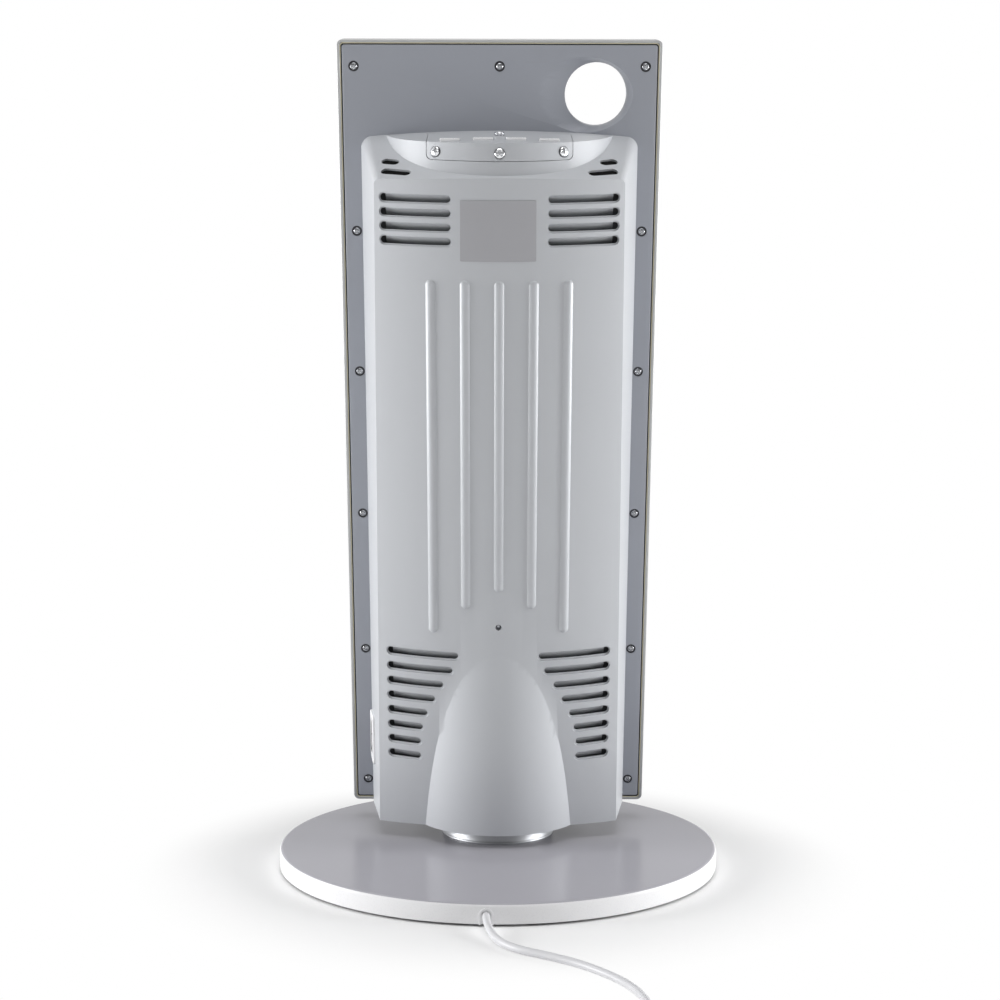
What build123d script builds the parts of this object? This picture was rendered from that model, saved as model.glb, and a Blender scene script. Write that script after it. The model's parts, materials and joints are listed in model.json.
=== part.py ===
from build123d import *
import math
import os

# Free-standing carbon heater: a tall panel that leans back on a round base and swings on its neck.
# Millimetres, +Z up, origin on the floor at the centre of the base disc. The front with the glowing
# tubes faces +Y, and the rear cover with its controls faces -Y.

# Base disc
base_radius = 195.0
base_top = 18.5
base_wall = 2.5
rim_bottom = 2.0
rim_edge_radius = 3.0
foot_height = 2.5
foot_radius = 9.0
foot_inset = 23.0
foot_count = 6
closing_plate_thickness = 2.0
closing_plate_gap = 0.4
base_screw_inset = 30.0
base_screw_count = 6
base_boss_radius = 5.0
clamp_inset = 27.0
clamp_length = 28.0
clamp_width = 10.0
ballast_inset = 45.0
ballast_channel = 24.0
ballast_inner_radius = 58.0
ballast_thickness = 6.0

# Cord notch in the rear of the rim
notch_x = -9.5
notch_radius = 4.4
notch_centre_z = 9.3
bushing_wall = 1.5
bushing_proud = 0.9
bushing_clearance = 0.05
bushing_bore_depth = 4.0
bushing_length = 5.5

# Tip-over switch in the base
switch_place = (60.0, 100.0)
tip_body_size = (22.0, 14.0)
tip_body_height = 11.0
plunger_radius = 3.0
plunger_collar_radius = 4.5
plunger_length = 12.7
plunger_hole_clearance = 0.4

# Screw holes: the pilot that a thread cuts into and the hole that it passes through
pilot_radius = 1.65
clearance_radius = 2.0

# Neck and swing bearing
neck_y = 35.0
neck_ring_radius = 50.0
neck_ring_wall = 2.0
neck_ring_top = 32.5
post_radius = 11.0
post_bore_radius = 7.5
post_top = 84.0
post_flange_radius = 36.0
post_flange_thickness = 4.0
post_shoulder_radius = 19.0
post_shoulder_top = 34.0
post_screw_circle = 28.0
post_screw_hole = 2.2
retaining_radius = 17.0
bush_flange_radius = 19.0
glide_thickness = 1.5
running_gap = 0.05
seat_gap = 0.3
bracket_bottom = 38.0
bracket_thickness = 3.0
bush_radius = 14.0
bush_top = 44.0
retaining_thickness = 2.0
track_bottom = 74.0
track_thickness = 4.0
nut_thickness = 5.0

# Swing drive: the crank's pin slides in the slot of an arm fixed on the post
crank_offset = 30.0
crank_throw = 19.5
pin_radius = 3.0
crank_limit = 80.0
track_slack = 0.8
motor_radius = 18.0
motor_bottom = 48.0
motor_top = 64.0
motor_lug_x = 25.0
motor_lug_thickness = 1.5

# Leaning panel: x across, s up the panel from its bottom edge, t rearwards from its rear face
lean = 13.0
panel_foot_y = 75.0
panel_foot_z = 36.0
panel_width = 271.0
panel_height = 693.3
panel_bottom = 2.3
panel_corner = 5.0
frame_depth = 22.0
frame_wall = 2.4
frame_edge_radius = 2.0
frame_lip = 10.0
lip_thickness = 2.5
fascia_thickness = 3.5
gasket_thickness = 1.2
fascia_boss_radius = 4.0
back_plate_inset = 4.2
back_plate_thickness = 3.0
back_plate_edge_radius = 0.8
window_width = 176.0
window_bottom = 118.0
window_top = 602.0
screw_column_x = 121.7
screw_heights = [23.5, 154.5, 284.5, 414.5, 537.0, 674.0]
plate_screw_head = 3.5
plate_screw_recess = 4.4
plate_screw_seat = 1.3
window_corner = 12.0

# Handle hole through the panel, with a finger scoop in the rear
handle_x = 81.0
handle_s = 651.0
handle_radius = 26.3
handle_wall = 2.0
scoop_x = 71.5
scoop_half_width = 40.0
scoop_half_height = 31.0
scoop_depth = 7.0

# Rear cover
cover_wall = 2.4
cover_half_width_bottom = 117.2
cover_half_width_top = 116.6
cover_draft_bottom = 0.169
cover_draft_top = 0.239
cover_corner_front = 10.0
cover_corner_rear = 4.0
roof_centre_s = 621.5
roof_corner_s = 616.0
roof_slope_centre = 0.384
roof_slope_corner = 0.46
crown_radius = 275.0
crown_depth = 80.0
cover_foot_slope = 3.0
nose_apex_s = 180.5
nose_ridge_radius = 1342.0
nose_apex_angle = 12.4
nose_round = 80.0
rib_width = 8.0
rib_height = 1.8
rib_pitch = 28.0
rib_top_s = 509.0
rib_bottom_s = [197.5, 221.0, 236.5, 221.0, 197.5]
cover_screw_s = 205.6
cover_screw_seat_t = 76.4

# Vents: height of the rim and of the slot in it
vent_rim_height = 8.6
vent_rim_width = 1.2
vent_rim_depth = 1.3
vent_outer_x = 98.5
upper_vent_top_s = 573.5
upper_vent_pitch = 11.5
upper_vent_count = 4
upper_vent_inner_x = 38.4
lower_vent_top_s = 177.8
lower_vent_pitch = 13.97
lower_vent_inner_x = [34.0, 39.0, 47.3, 54.6, 61.5, 65.7, 67.6, 67.6]
roof_vent_height = 8.2
roof_vent_outer_x = 97.5
roof_vent_inner_x = [82.0, 71.5]
roof_vent_turn = 21.0
roof_vent_t = [40.4, 56.0]

# Louvre blades behind the vents: each slopes in and down from the slot's upper edge
louvre_root_depth = 1.9
louvre_tip_depth = 9.4
louvre_root_rise = 3.6
louvre_thickness = 1.4
upper_louvre_drop = 3.5
lower_louvre_drop = 5.0
louvre_outer_x = 93.0

# Control pod on the roof
pod_axis_t = -29.0
pod_foot_s = 588.0
pod_foot_radius = 106.2
pod_flare = 0.207
pod_top_slope = 0.053
control_half_width = 59.5
control_front_t = 12.0
control_foot_s = 603.5
control_corner = 4.0
control_gap = 0.4
control_screw_angles = [-30.8, 0.0, 30.8]
control_screw_s = 609.5
pod_boss_radius = 3.4
pod_boss_depth = 10.0
button_x = [-40.5, -13.5, 13.5, 40.5]
button_t = 51.0
button_width = 16.4
button_depth = 7.0
button_proud = 1.6
button_gap = 0.25
button_flange = 0.8
button_travel = 1.2
stem_x = [-36.0, -13.5, 13.5, 36.0]
indicator_t = 27.0
board_s = 605.5
board_thickness = 1.6
board_screw_t = 43.0

# Heating unit
tube_x = 36.0
tube_t = 8.0
tube_radius = 6.5
tube_wall = 1.2
reflector_half_width = 88.0
reflector_depth = 37.0
sheet = 1.0
shield_half_width = 97.0
shield_depth = 45.0

# Side switch
switch_s = 72.5
switch_t = 13.0
switch_height = 47.0
switch_width = 20.0
switch_proud = 2.2
switch_sunk = 0.5
rocker_height = 32.0
rocker_width = 11.0
rocker_gap = 0.4
rocker_tilt = 12.0
rocker_level = -0.8
rocker_pin_radius = 1.5

# Mains lead
cord_diameter = 6.2
coil_pitch = 6.7
coil_layer = 6.8
coil_start_radius = 48.7
coil_lower_half_turns = 6
coil_upper_half_turns = 5
coil_tail = 34.0
cord_z = cord_diameter / 2
cord_exit = (notch_x, -base_radius - bushing_proud, notch_centre_z)

# Circles inside the base, measured in from the rim
foot_circle = base_radius - foot_inset
base_screw_circle = base_radius - base_screw_inset
ballast_outer_radius = base_radius - ballast_inset
clamp_y = clamp_inset - base_radius

# Frames of reference on the leaning panel
lean_sin = math.sin(math.radians(lean))
lean_cos = math.cos(math.radians(lean))
up_panel = Vector(0, -lean_sin, lean_cos)
rearwards = Vector(0, -lean_cos, -lean_sin)
panel = Plane(origin=(0, panel_foot_y, panel_foot_z), x_dir=(1, 0, 0), z_dir=rearwards)
panel_depth = Axis(panel.origin, rearwards)
panel_centre_s = panel_bottom + panel_height / 2
window_centre_s = (window_bottom + window_top) / 2
window_height = window_top - window_bottom


def on_panel(x, s, t):
    """World place of a point given across, up and behind the panel."""
    return panel.from_local_coords((x, s, t))


def level(s):
    """Plane square to the panel at height s: its x runs across and its y towards the front."""
    return Plane(origin=on_panel(0, s, 0), x_dir=(1, 0, 0), z_dir=up_panel)


def save(piece, name):
    """Names the piece and writes it to its own file."""
    piece.part.label = name
    export_step(piece.part, f"parts/{name}.step")


def pan_head_screw(head_radius, head_height, shank_radius, shank_length):
    """A cross-recess pan-head screw along Z, with its seat at z = 0 and its shank below."""
    with BuildPart() as screw:
        with BuildSketch():
            Circle(head_radius)
        extrude(amount=head_height)
        fillet(screw.faces().sort_by(Axis.Z)[-1].edges(), radius=head_height * 0.45)
        with BuildSketch(Plane.XY.offset(head_height)):
            Rectangle(head_radius * 1.2, head_radius * 0.26)
            Rectangle(head_radius * 0.26, head_radius * 1.2)
        extrude(amount=-head_height * 0.6, mode=Mode.SUBTRACT)
        with BuildSketch():
            Circle(shank_radius)
        extrude(amount=-shank_length)
    return screw.part


os.makedirs("parts", exist_ok=True)

# Base cover: a shallow disc shell with rounded edge, screw bosses and the cord notch
closing_plate_bottom = foot_height
closing_plate_top = closing_plate_bottom + closing_plate_thickness
base_ceiling = base_top - base_wall
with BuildPart() as base_cover:
    with BuildSketch(Plane.XZ) as rim_profile:
        with BuildLine():
            Polyline(
                (0, base_top),
                (base_radius, base_top),
                (base_radius, rim_bottom),
                (base_radius - base_wall, rim_bottom),
                (base_radius - base_wall, base_ceiling),
                (0, base_ceiling),
                close=True,
            )
        make_face()
        outer_edge = rim_profile.vertices().filter_by(lambda v: v.X > base_radius - 1)
        fillet(outer_edge.sort_by(Axis.Y)[-1], radius=rim_edge_radius)
    revolve(axis=Axis.Z)
    with BuildSketch(Plane.XY.offset(base_ceiling)):
        with PolarLocations(base_screw_circle, base_screw_count):
            Circle(base_boss_radius)
    extrude(amount=closing_plate_top - base_ceiling)
    with BuildSketch(Plane.XY.offset(closing_plate_top)):
        with PolarLocations(base_screw_circle, base_screw_count):
            Circle(pilot_radius)
    extrude(amount=base_ceiling - closing_plate_top - 2, mode=Mode.SUBTRACT)
    with BuildSketch(Plane.XY.offset(base_ceiling - 1)):
        with Locations((0, neck_y)):
            Circle(post_bore_radius + 1.5)
            with PolarLocations(post_screw_circle, 4, start_angle=45):
                Circle(post_screw_hole)
    extrude(amount=base_wall + 2, mode=Mode.SUBTRACT)
    with BuildSketch(Plane.XZ.offset(base_radius - base_wall - 2)):
        with Locations((notch_x, notch_centre_z)):
            Circle(notch_radius + bushing_wall)
        with Locations((notch_x, notch_centre_z / 2)):
            Rectangle(2 * (notch_radius + bushing_wall), notch_centre_z)
    extrude(amount=base_wall + 6, mode=Mode.SUBTRACT)
save(base_cover, "base_cover")

# Closing plate under the base
with BuildPart() as base_plate:
    with BuildSketch(Plane.XY.offset(closing_plate_bottom)):
        Circle(base_radius - base_wall - closing_plate_gap)
        with PolarLocations(base_screw_circle, base_screw_count):
            Circle(clearance_radius, mode=Mode.SUBTRACT)
        with Locations(switch_place):
            Circle(plunger_radius + plunger_hole_clearance, mode=Mode.SUBTRACT)
        with Locations((notch_x, -base_radius)):
            Rectangle(2 * (notch_radius + bushing_wall) + 1, 20, mode=Mode.SUBTRACT)
    extrude(amount=closing_plate_thickness)
save(base_plate, "base_plate")

base_screw = pan_head_screw(3.8, 2.0, 1.6, 10.0)
with BuildPart() as base_screws:
    with PolarLocations(base_screw_circle, base_screw_count):
        with Locations(Location((0, 0, closing_plate_bottom), (180, 0, 0))):
            add(base_screw)
save(base_screws, "base_screws")

with BuildPart() as rubber_feet:
    with BuildSketch():
        with PolarLocations(foot_circle, foot_count, start_angle=30):
            Circle(foot_radius)
    extrude(amount=foot_height)
    fillet(rubber_feet.faces().group_by(Axis.Z)[0].edges(), radius=0.6)
save(rubber_feet, "rubber_feet")

# Ballast plate with a channel for the lead and a gap for the tip-over switch
with BuildPart() as ballast_plate:
    with BuildSketch(Plane.XY.offset(closing_plate_top)):
        Circle(ballast_outer_radius)
        with Locations((0, neck_y)):
            Circle(ballast_inner_radius, mode=Mode.SUBTRACT)
        with Locations((notch_x / 2, -ballast_outer_radius / 2)):
            Rectangle(ballast_channel, ballast_outer_radius + 10, mode=Mode.SUBTRACT)
        with Locations(switch_place):
            Rectangle(tip_body_size[0] + 4, tip_body_size[1] + 4, mode=Mode.SUBTRACT)
    extrude(amount=ballast_thickness)
save(ballast_plate, "ballast_plate")

# Tip-over switch: a spring plunger that drops out of the closing plate when the heater is lifted
with BuildPart() as tip_switch_body:
    with BuildSketch(Plane.XY.offset(closing_plate_top)):
        with Locations(switch_place):
            Rectangle(*tip_body_size)
    extrude(amount=tip_body_height)
    fillet(tip_switch_body.edges().filter_by(Axis.Z), radius=1.5)
    with BuildSketch(Plane.XY.offset(closing_plate_top)):
        with Locations(switch_place):
            Circle(plunger_radius + running_gap)
    extrude(amount=3.6, mode=Mode.SUBTRACT)
    with BuildSketch(Plane.XY.offset(closing_plate_top + 3.6)):
        with Locations(switch_place):
            Circle(plunger_collar_radius + 2 * running_gap)
    extrude(amount=6.0, mode=Mode.SUBTRACT)
save(tip_switch_body, "tip_switch_body")

with BuildPart() as tip_plunger:
    with BuildSketch():
        with Locations(switch_place):
            Circle(plunger_radius)
    extrude(amount=plunger_length)
    with BuildSketch(Plane.XY.offset(closing_plate_top + 7.6)):
        with Locations(switch_place):
            Circle(plunger_collar_radius)
    extrude(amount=1.4)
    fillet(tip_plunger.faces().sort_by(Axis.Z)[0].edges(), radius=0.8)
save(tip_plunger, "tip_plunger")

# Bushing that lines the cord notch and stands a little proud of the rim
with BuildPart() as cord_bushing:
    bushing_front = base_radius + bushing_proud
    with BuildSketch(Plane.XZ.offset(bushing_front)):
        with Locations((notch_x, notch_centre_z)):
            Circle(notch_radius + bushing_wall - bushing_clearance)
        with Locations((notch_x, (notch_centre_z + rim_bottom) / 2)):
            Rectangle(
                2 * (notch_radius + bushing_wall - bushing_clearance), notch_centre_z - rim_bottom
            )
    extrude(amount=-bushing_length)
    with BuildSketch(Plane.XZ.offset(bushing_front)):
        with Locations((notch_x, notch_centre_z)):
            Circle(notch_radius)
        with Locations((notch_x, (notch_centre_z + rim_bottom) / 2)):
            Rectangle(2 * notch_radius, notch_centre_z - rim_bottom + 1)
    extrude(amount=-bushing_bore_depth, mode=Mode.SUBTRACT)
    with BuildSketch(Plane.XZ.offset(bushing_front)):
        with Locations((notch_x, notch_centre_z)):
            Circle(cord_diameter / 2)
    extrude(amount=-bushing_length, mode=Mode.SUBTRACT)
save(cord_bushing, "cord_bushing")

with BuildPart() as cord_clamp:
    with BuildSketch(Plane.XY.offset(closing_plate_top)):
        with Locations((notch_x, clamp_y)):
            RectangleRounded(clamp_length, clamp_width, 2)
    extrude(amount=base_ceiling - closing_plate_top - seat_gap)
    with BuildSketch(Plane.XZ.offset(clamp_width - clamp_y)):
        with Locations((notch_x, notch_centre_z)):
            Circle(cord_diameter / 2 + running_gap)
    extrude(amount=-2 * clamp_width, mode=Mode.SUBTRACT)
save(cord_clamp, "cord_clamp")

# Chrome ring round the neck
with BuildPart() as neck_ring:
    with BuildSketch(Plane.XZ):
        with BuildLine():
            Polyline(
                (neck_ring_radius - neck_ring_wall, base_top),
                (neck_ring_radius + 0.8, base_top),
                (neck_ring_radius + 0.8, base_top + 1.2),
                (neck_ring_radius, base_top + 2.4),
                (neck_ring_radius - 1.5, neck_ring_top),
                (neck_ring_radius - neck_ring_wall - 1.5, neck_ring_top),
                close=True,
            )
        make_face()
    revolve(axis=Axis.Z)
neck_ring.part = neck_ring.part.moved(Location((0, neck_y, 0)))
save(neck_ring, "neck_ring")

# Neck post: flange on the base, shoulder for the glide washer, hollow for the lead
track_top = track_bottom + track_thickness
retaining_bottom = bush_top + seat_gap
with BuildPart() as neck_post:
    with BuildSketch(Plane.XZ):
        with BuildLine():
            Polyline(
                (post_bore_radius, base_top),
                (post_flange_radius, base_top),
                (post_flange_radius, base_top + post_flange_thickness),
                (post_shoulder_radius, base_top + post_flange_thickness),
                (post_shoulder_radius, post_shoulder_top),
                (post_radius, post_shoulder_top),
                (post_radius, retaining_bottom - 0.1),
                (post_radius - 1.0, retaining_bottom - 0.1),
                (post_radius - 1.0, retaining_bottom + retaining_thickness + 0.1),
                (post_radius, retaining_bottom + retaining_thickness + 0.1),
                (post_radius, track_bottom),
                (post_radius - 2.0, track_bottom),
                (post_radius - 2.0, post_top),
                (post_bore_radius, post_top),
                close=True,
            )
        make_face()
    revolve(axis=Axis.Z)
    with BuildSketch(Plane.XY.offset(base_top)):
        with PolarLocations(post_screw_circle, 4, start_angle=45):
            Circle(post_screw_hole)
    extrude(amount=post_flange_thickness, mode=Mode.SUBTRACT)
neck_post.part = neck_post.part.moved(Location((0, neck_y, 0)))
save(neck_post, "neck_post")

post_screw = pan_head_screw(4.0, 2.4, 2.0, post_flange_thickness + base_wall + 1.5)
with BuildPart() as neck_post_screws:
    with Locations((0, neck_y, base_top + post_flange_thickness)):
        with PolarLocations(post_screw_circle, 4, start_angle=45):
            add(post_screw)
save(neck_post_screws, "neck_post_screws")

with BuildPart() as glide_washer:
    with BuildSketch(Plane.XY.offset(post_shoulder_top)):
        with Locations((0, neck_y)):
            Circle(post_shoulder_radius)
            Circle(post_radius + running_gap, mode=Mode.SUBTRACT)
    extrude(amount=glide_thickness)
save(glide_washer, "glide_washer")

with BuildPart() as retaining_ring:
    with BuildSketch(Plane.XY.offset(retaining_bottom)):
        with Locations((0, neck_y)):
            Circle(retaining_radius)
            Circle(post_radius - 1.0 + running_gap, mode=Mode.SUBTRACT)
    extrude(amount=retaining_thickness)
save(retaining_ring, "retaining_ring")

# Fixed arm on the post, with the slot that the crank's pin works in
pin_reach_far = crank_offset + crank_throw
swept = math.radians(crank_limit)
pin_reach_near = math.hypot(
    crank_offset + crank_throw * math.cos(swept), crank_throw * math.sin(swept)
)
slot_half_width = pin_radius + track_slack
slot_near = pin_reach_near - slot_half_width - track_slack
slot_far = pin_reach_far + slot_half_width + track_slack
with BuildPart() as swing_track:
    with BuildSketch(Plane.XY.offset(track_bottom)):
        with Locations((0, neck_y)):
            Circle(retaining_radius)
        with Locations((0, neck_y - (slot_far + 3.5) / 2)):
            RectangleRounded(2 * slot_half_width + 8, slot_far + 3.5, 3)
        with Locations((0, neck_y - (slot_near + slot_far) / 2)):
            SlotOverall(slot_far - slot_near, 2 * slot_half_width, rotation=90, mode=Mode.SUBTRACT)
        with Locations((0, neck_y)):
            Circle(post_radius - 2.0 + running_gap, mode=Mode.SUBTRACT)
    extrude(amount=track_thickness)
save(swing_track, "swing_track")

with BuildPart() as post_nut:
    with BuildSketch(Plane.XY.offset(track_top)):
        with Locations((0, neck_y)):
            RegularPolygon(14, 6)
            Circle(post_radius - 2.0 + running_gap, mode=Mode.SUBTRACT)
    extrude(amount=nut_thickness)
save(post_nut, "post_nut")

# Supply lead inside the base, up through the post to the terminal block
lead_top = 103.6
with BuildPart() as supply_lead:
    with BuildLine() as lead_path:
        FilletPolyline(
            (notch_x, cord_exit[1], notch_centre_z),
            (notch_x, -110, notch_centre_z),
            (0, -30, notch_centre_z),
            (0, neck_y, notch_centre_z),
            (0, neck_y, lead_top),
            radius=[60, 60, 12],
        )
    with BuildSketch(Plane(origin=cord_exit, x_dir=(1, 0, 0), z_dir=(0, 1, 0))):
        Circle(cord_diameter / 2)
    sweep(path=lead_path.line)
save(supply_lead, "supply_lead")

# Swivel bracket: a floor plate on the bush and a leg screwed to the back plate
bracket_top = bracket_bottom + bracket_thickness
motor_y = neck_y - crank_offset
bracket_width = 90
bracket_rear_y = -14
bracket_front_y = 80
with BuildPart() as swivel_bracket:
    with BuildSketch(Plane.XY.offset(bracket_bottom)):
        with Locations((0, (bracket_rear_y + bracket_front_y) / 2)):
            Rectangle(bracket_width, bracket_front_y - bracket_rear_y)
        with Locations((0, neck_y)):
            Circle(bush_radius, mode=Mode.SUBTRACT)
    extrude(amount=bracket_thickness)
    with BuildSketch(panel):
        with Locations((0, 33)):
            Rectangle(bracket_width, 62)
    extrude(amount=bracket_thickness)
    with BuildSketch(Plane.XY.offset(bracket_top)):
        with Locations((-motor_lug_x, motor_y), (motor_lug_x, motor_y)):
            Circle(4)
            Circle(pilot_radius, mode=Mode.SUBTRACT)
    extrude(amount=motor_top - motor_lug_thickness - bracket_top)
    split(bisect_by=panel, keep=Keep.TOP)
    split(bisect_by=Plane.XY.offset(bracket_bottom), keep=Keep.TOP)
save(swivel_bracket, "swivel_bracket")

with BuildPart() as swivel_bush:
    with BuildSketch(Plane.XY.offset(post_shoulder_top + glide_thickness + seat_gap)):
        with Locations((0, neck_y)):
            Circle(bush_flange_radius)
    extrude(amount=bracket_bottom - post_shoulder_top - glide_thickness - seat_gap)
    with BuildSketch(Plane.XY.offset(bracket_bottom)):
        with Locations((0, neck_y)):
            Circle(bush_radius - running_gap)
    extrude(amount=bush_top - bracket_bottom)
    with BuildSketch(Plane.XY.offset(post_shoulder_top)):
        with Locations((0, neck_y)):
            Circle(post_radius + running_gap)
    extrude(amount=20, mode=Mode.SUBTRACT)
save(swivel_bush, "swivel_bush")

# Swing motor with its two lugs, its screws and the crank
with BuildPart() as swing_motor:
    with BuildSketch(Plane.XY.offset(motor_bottom)):
        with Locations((0, motor_y)):
            Circle(motor_radius)
    extrude(amount=motor_top - motor_bottom)
    fillet(swing_motor.edges().sort_by(Axis.Z)[0], radius=1.5)
    with BuildSketch(Plane.XY.offset(motor_top - motor_lug_thickness)):
        with Locations((0, motor_y)):
            SlotOverall(2 * motor_lug_x + 11, 11)
            with Locations((-motor_lug_x, 0), (motor_lug_x, 0)):
                Circle(1.8, mode=Mode.SUBTRACT)
    extrude(amount=motor_lug_thickness)
    with BuildSketch(Plane.XY.offset(motor_top)):
        with Locations((0, motor_y)):
            Circle(6)
    extrude(amount=2.5)
    with BuildSketch(Plane.XY.offset(motor_top - 8)):
        with Locations((0, motor_y)):
            Circle(pin_radius)
    extrude(amount=12, mode=Mode.SUBTRACT)
save(swing_motor, "swing_motor")

motor_screw = pan_head_screw(3.2, 2.0, 1.6, 12.0)
with BuildPart() as motor_screws:
    with Locations((-motor_lug_x, motor_y, motor_top), (motor_lug_x, motor_y, motor_top)):
        add(motor_screw)
save(motor_screws, "motor_screws")

crank_bottom = motor_top + 3.3
with BuildPart() as motor_crank:
    with BuildSketch(Plane.XY.offset(motor_top - 7.5)):
        with Locations((0, motor_y)):
            Circle(pin_radius - running_gap)
    extrude(amount=12)
    with BuildSketch(Plane.XY.offset(crank_bottom)):
        with Locations((0, motor_y)):
            Circle(7)
        with Locations((0, motor_y - crank_throw / 2)):
            SlotOverall(crank_throw + 9, 9, rotation=90)
    extrude(amount=3.5)
    with BuildSketch(Plane.XY.offset(crank_bottom)):
        with Locations((0, motor_y - crank_throw)):
            Circle(pin_radius)
    extrude(amount=track_top + 2 - crank_bottom)
save(motor_crank, "motor_crank")


def ring_on_panel(width, height, corner, hole_width, hole_height, hole_corner):
    """A rounded rectangle with a rounded rectangular hole, both centred on the panel."""
    with Locations((0, panel_centre_s)):
        RectangleRounded(width, height, corner)
        RectangleRounded(hole_width, hole_height, hole_corner, mode=Mode.SUBTRACT)


# Front frame: the silver bezel with its lip in front of the fascia
inner_width = panel_width - 2 * frame_wall
inner_height = panel_height - 2 * frame_wall
inner_corner = panel_corner - frame_wall
with BuildPart() as front_frame:
    with BuildSketch(panel.offset(-frame_depth)):
        ring_on_panel(
            panel_width, panel_height, panel_corner, inner_width, inner_height, inner_corner
        )
    extrude(amount=frame_depth)
    front_face = front_frame.faces().sort_by(panel_depth)[0]
    fillet(front_face.outer_wire().edges(), radius=frame_edge_radius)
    with BuildSketch(panel.offset(-frame_depth)):
        ring_on_panel(
            inner_width,
            inner_height,
            inner_corner,
            panel_width - 2 * frame_lip,
            panel_height - 2 * frame_lip,
            inner_corner,
        )
    extrude(amount=lip_thickness)
save(front_frame, "front_frame")

# Front fascia with the window, the handle hole and bosses for the back plate's screws
fascia_front = -frame_depth + lip_thickness
fascia_rear = fascia_front + fascia_thickness
plate_screw_places = [(x, s) for x in (-screw_column_x, screw_column_x) for s in screw_heights]
plate_screw_places.append((0, screw_heights[-1]))
with BuildPart() as front_fascia:
    with BuildSketch(panel.offset(fascia_front)):
        with Locations((0, panel_centre_s)):
            RectangleRounded(inner_width - 0.4, inner_height - 0.4, inner_corner)
        with Locations((0, window_centre_s)):
            RectangleRounded(window_width, window_height, window_corner, mode=Mode.SUBTRACT)
        with Locations((handle_x, handle_s)):
            Circle(handle_radius + handle_wall + seat_gap, mode=Mode.SUBTRACT)
    extrude(amount=fascia_thickness)
    with BuildSketch(panel.offset(fascia_rear)):
        with Locations(*plate_screw_places):
            Circle(fascia_boss_radius)
            Circle(pilot_radius, mode=Mode.SUBTRACT)
    extrude(amount=-back_plate_thickness - fascia_rear)
save(front_fascia, "front_fascia")

with BuildPart() as panel_gasket:
    with BuildSketch(panel.offset(-back_plate_thickness)):
        ring_on_panel(
            inner_width,
            inner_height,
            inner_corner,
            inner_width - 2 * gasket_thickness,
            inner_height - 2 * gasket_thickness,
            inner_corner - gasket_thickness / 2,
        )
    extrude(amount=back_plate_thickness - 0.3)
save(panel_gasket, "panel_gasket")

# Back plate with its window, screw recesses and the scooped handle tube
with BuildPart() as back_plate:
    with BuildSketch(panel.offset(-back_plate_thickness)):
        with Locations((0, panel_centre_s)):
            RectangleRounded(
                panel_width - 2 * back_plate_inset, panel_height - 2 * back_plate_inset, 2
            )
    extrude(amount=back_plate_thickness)
    rear_face = back_plate.faces().sort_by(panel_depth)[-1]
    fillet(rear_face.edges(), radius=back_plate_edge_radius)
    with BuildSketch(panel.offset(-back_plate_thickness)):
        with Locations((scoop_x, handle_s)):
            Ellipse(scoop_half_width + handle_wall, scoop_half_height + handle_wall)
    with BuildSketch(panel.offset(-scoop_depth - handle_wall)):
        with Locations((handle_x, handle_s)):
            Circle(handle_radius + handle_wall)
    loft()
    with BuildSketch(panel.offset(-scoop_depth - handle_wall)):
        with Locations((handle_x, handle_s)):
            Circle(handle_radius + handle_wall)
    extrude(amount=scoop_depth + handle_wall - frame_depth + 0.5)
    with BuildSketch(panel):
        with Locations((scoop_x, handle_s)):
            Ellipse(scoop_half_width, scoop_half_height)
    with BuildSketch(panel.offset(-scoop_depth)):
        with Locations((handle_x, handle_s)):
            Circle(handle_radius)
    loft(mode=Mode.SUBTRACT)
    with BuildSketch(panel.offset(-frame_depth)):
        with Locations((handle_x, handle_s)):
            Circle(handle_radius)
    extrude(amount=frame_depth - scoop_depth + 0.5, mode=Mode.SUBTRACT)
    with BuildSketch(panel.offset(-back_plate_thickness)):
        with Locations((0, window_centre_s)):
            Rectangle(window_width + 10, window_height + 8)
        with Locations(*plate_screw_places):
            Circle(clearance_radius)
    extrude(amount=back_plate_thickness, mode=Mode.SUBTRACT)
    with BuildSketch(panel):
        with Locations(*plate_screw_places):
            Circle(plate_screw_recess)
    extrude(amount=-plate_screw_seat, mode=Mode.SUBTRACT)
save(back_plate, "back_plate")

plate_screw = pan_head_screw(plate_screw_head, 2.2, 1.6, 11.0)
with BuildPart() as back_plate_screws:
    with Locations(*[panel.offset(-plate_screw_seat) * Pos(x, s, 0) for x, s in plate_screw_places]):
        add(plate_screw)
save(back_plate_screws, "back_plate_screws")

with BuildPart() as handle_trim:
    with BuildSketch(panel.offset(fascia_front)):
        with Locations((handle_x, handle_s)):
            Circle(handle_radius + handle_wall + 2.2)
            Circle(handle_radius + handle_wall + seat_gap, mode=Mode.SUBTRACT)
    extrude(amount=-1.5)
save(handle_trim, "handle_trim")

# Guard grille: one sheet with rows of upright slots behind the window
grille_thickness = 2.0
with BuildPart() as guard_grille:
    with BuildSketch(panel.offset(fascia_rear)):
        with Locations((0, window_centre_s)):
            Rectangle(window_width + 12, window_height + 12)
            with GridLocations(13.2, 118.0, 13, 4):
                SlotOverall(112.0, 10.4, rotation=90, mode=Mode.SUBTRACT)
    extrude(amount=grille_thickness)
save(guard_grille, "guard_grille")

# Reflector trough, its end brackets and the two heating tubes
trough_front = fascia_rear + grille_thickness + 0.1


def trough_outline(grow):
    """The trough's arc from edge to edge, grown outwards by the sheet or not at all."""
    half = reflector_half_width + grow
    return ThreePointArc(
        (-half, -trough_front), (0, -reflector_depth - grow), (half, -trough_front)
    )


with BuildPart() as reflector:
    with BuildSketch(level(window_bottom - 1)):
        with BuildLine():
            inner_arc = trough_outline(0)
            outer_arc = trough_outline(sheet)
            Line(inner_arc @ 0, outer_arc @ 0)
            Line(inner_arc @ 1, outer_arc @ 1)
        make_face()
    extrude(amount=window_height + 2)
save(reflector, "reflector")

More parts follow.
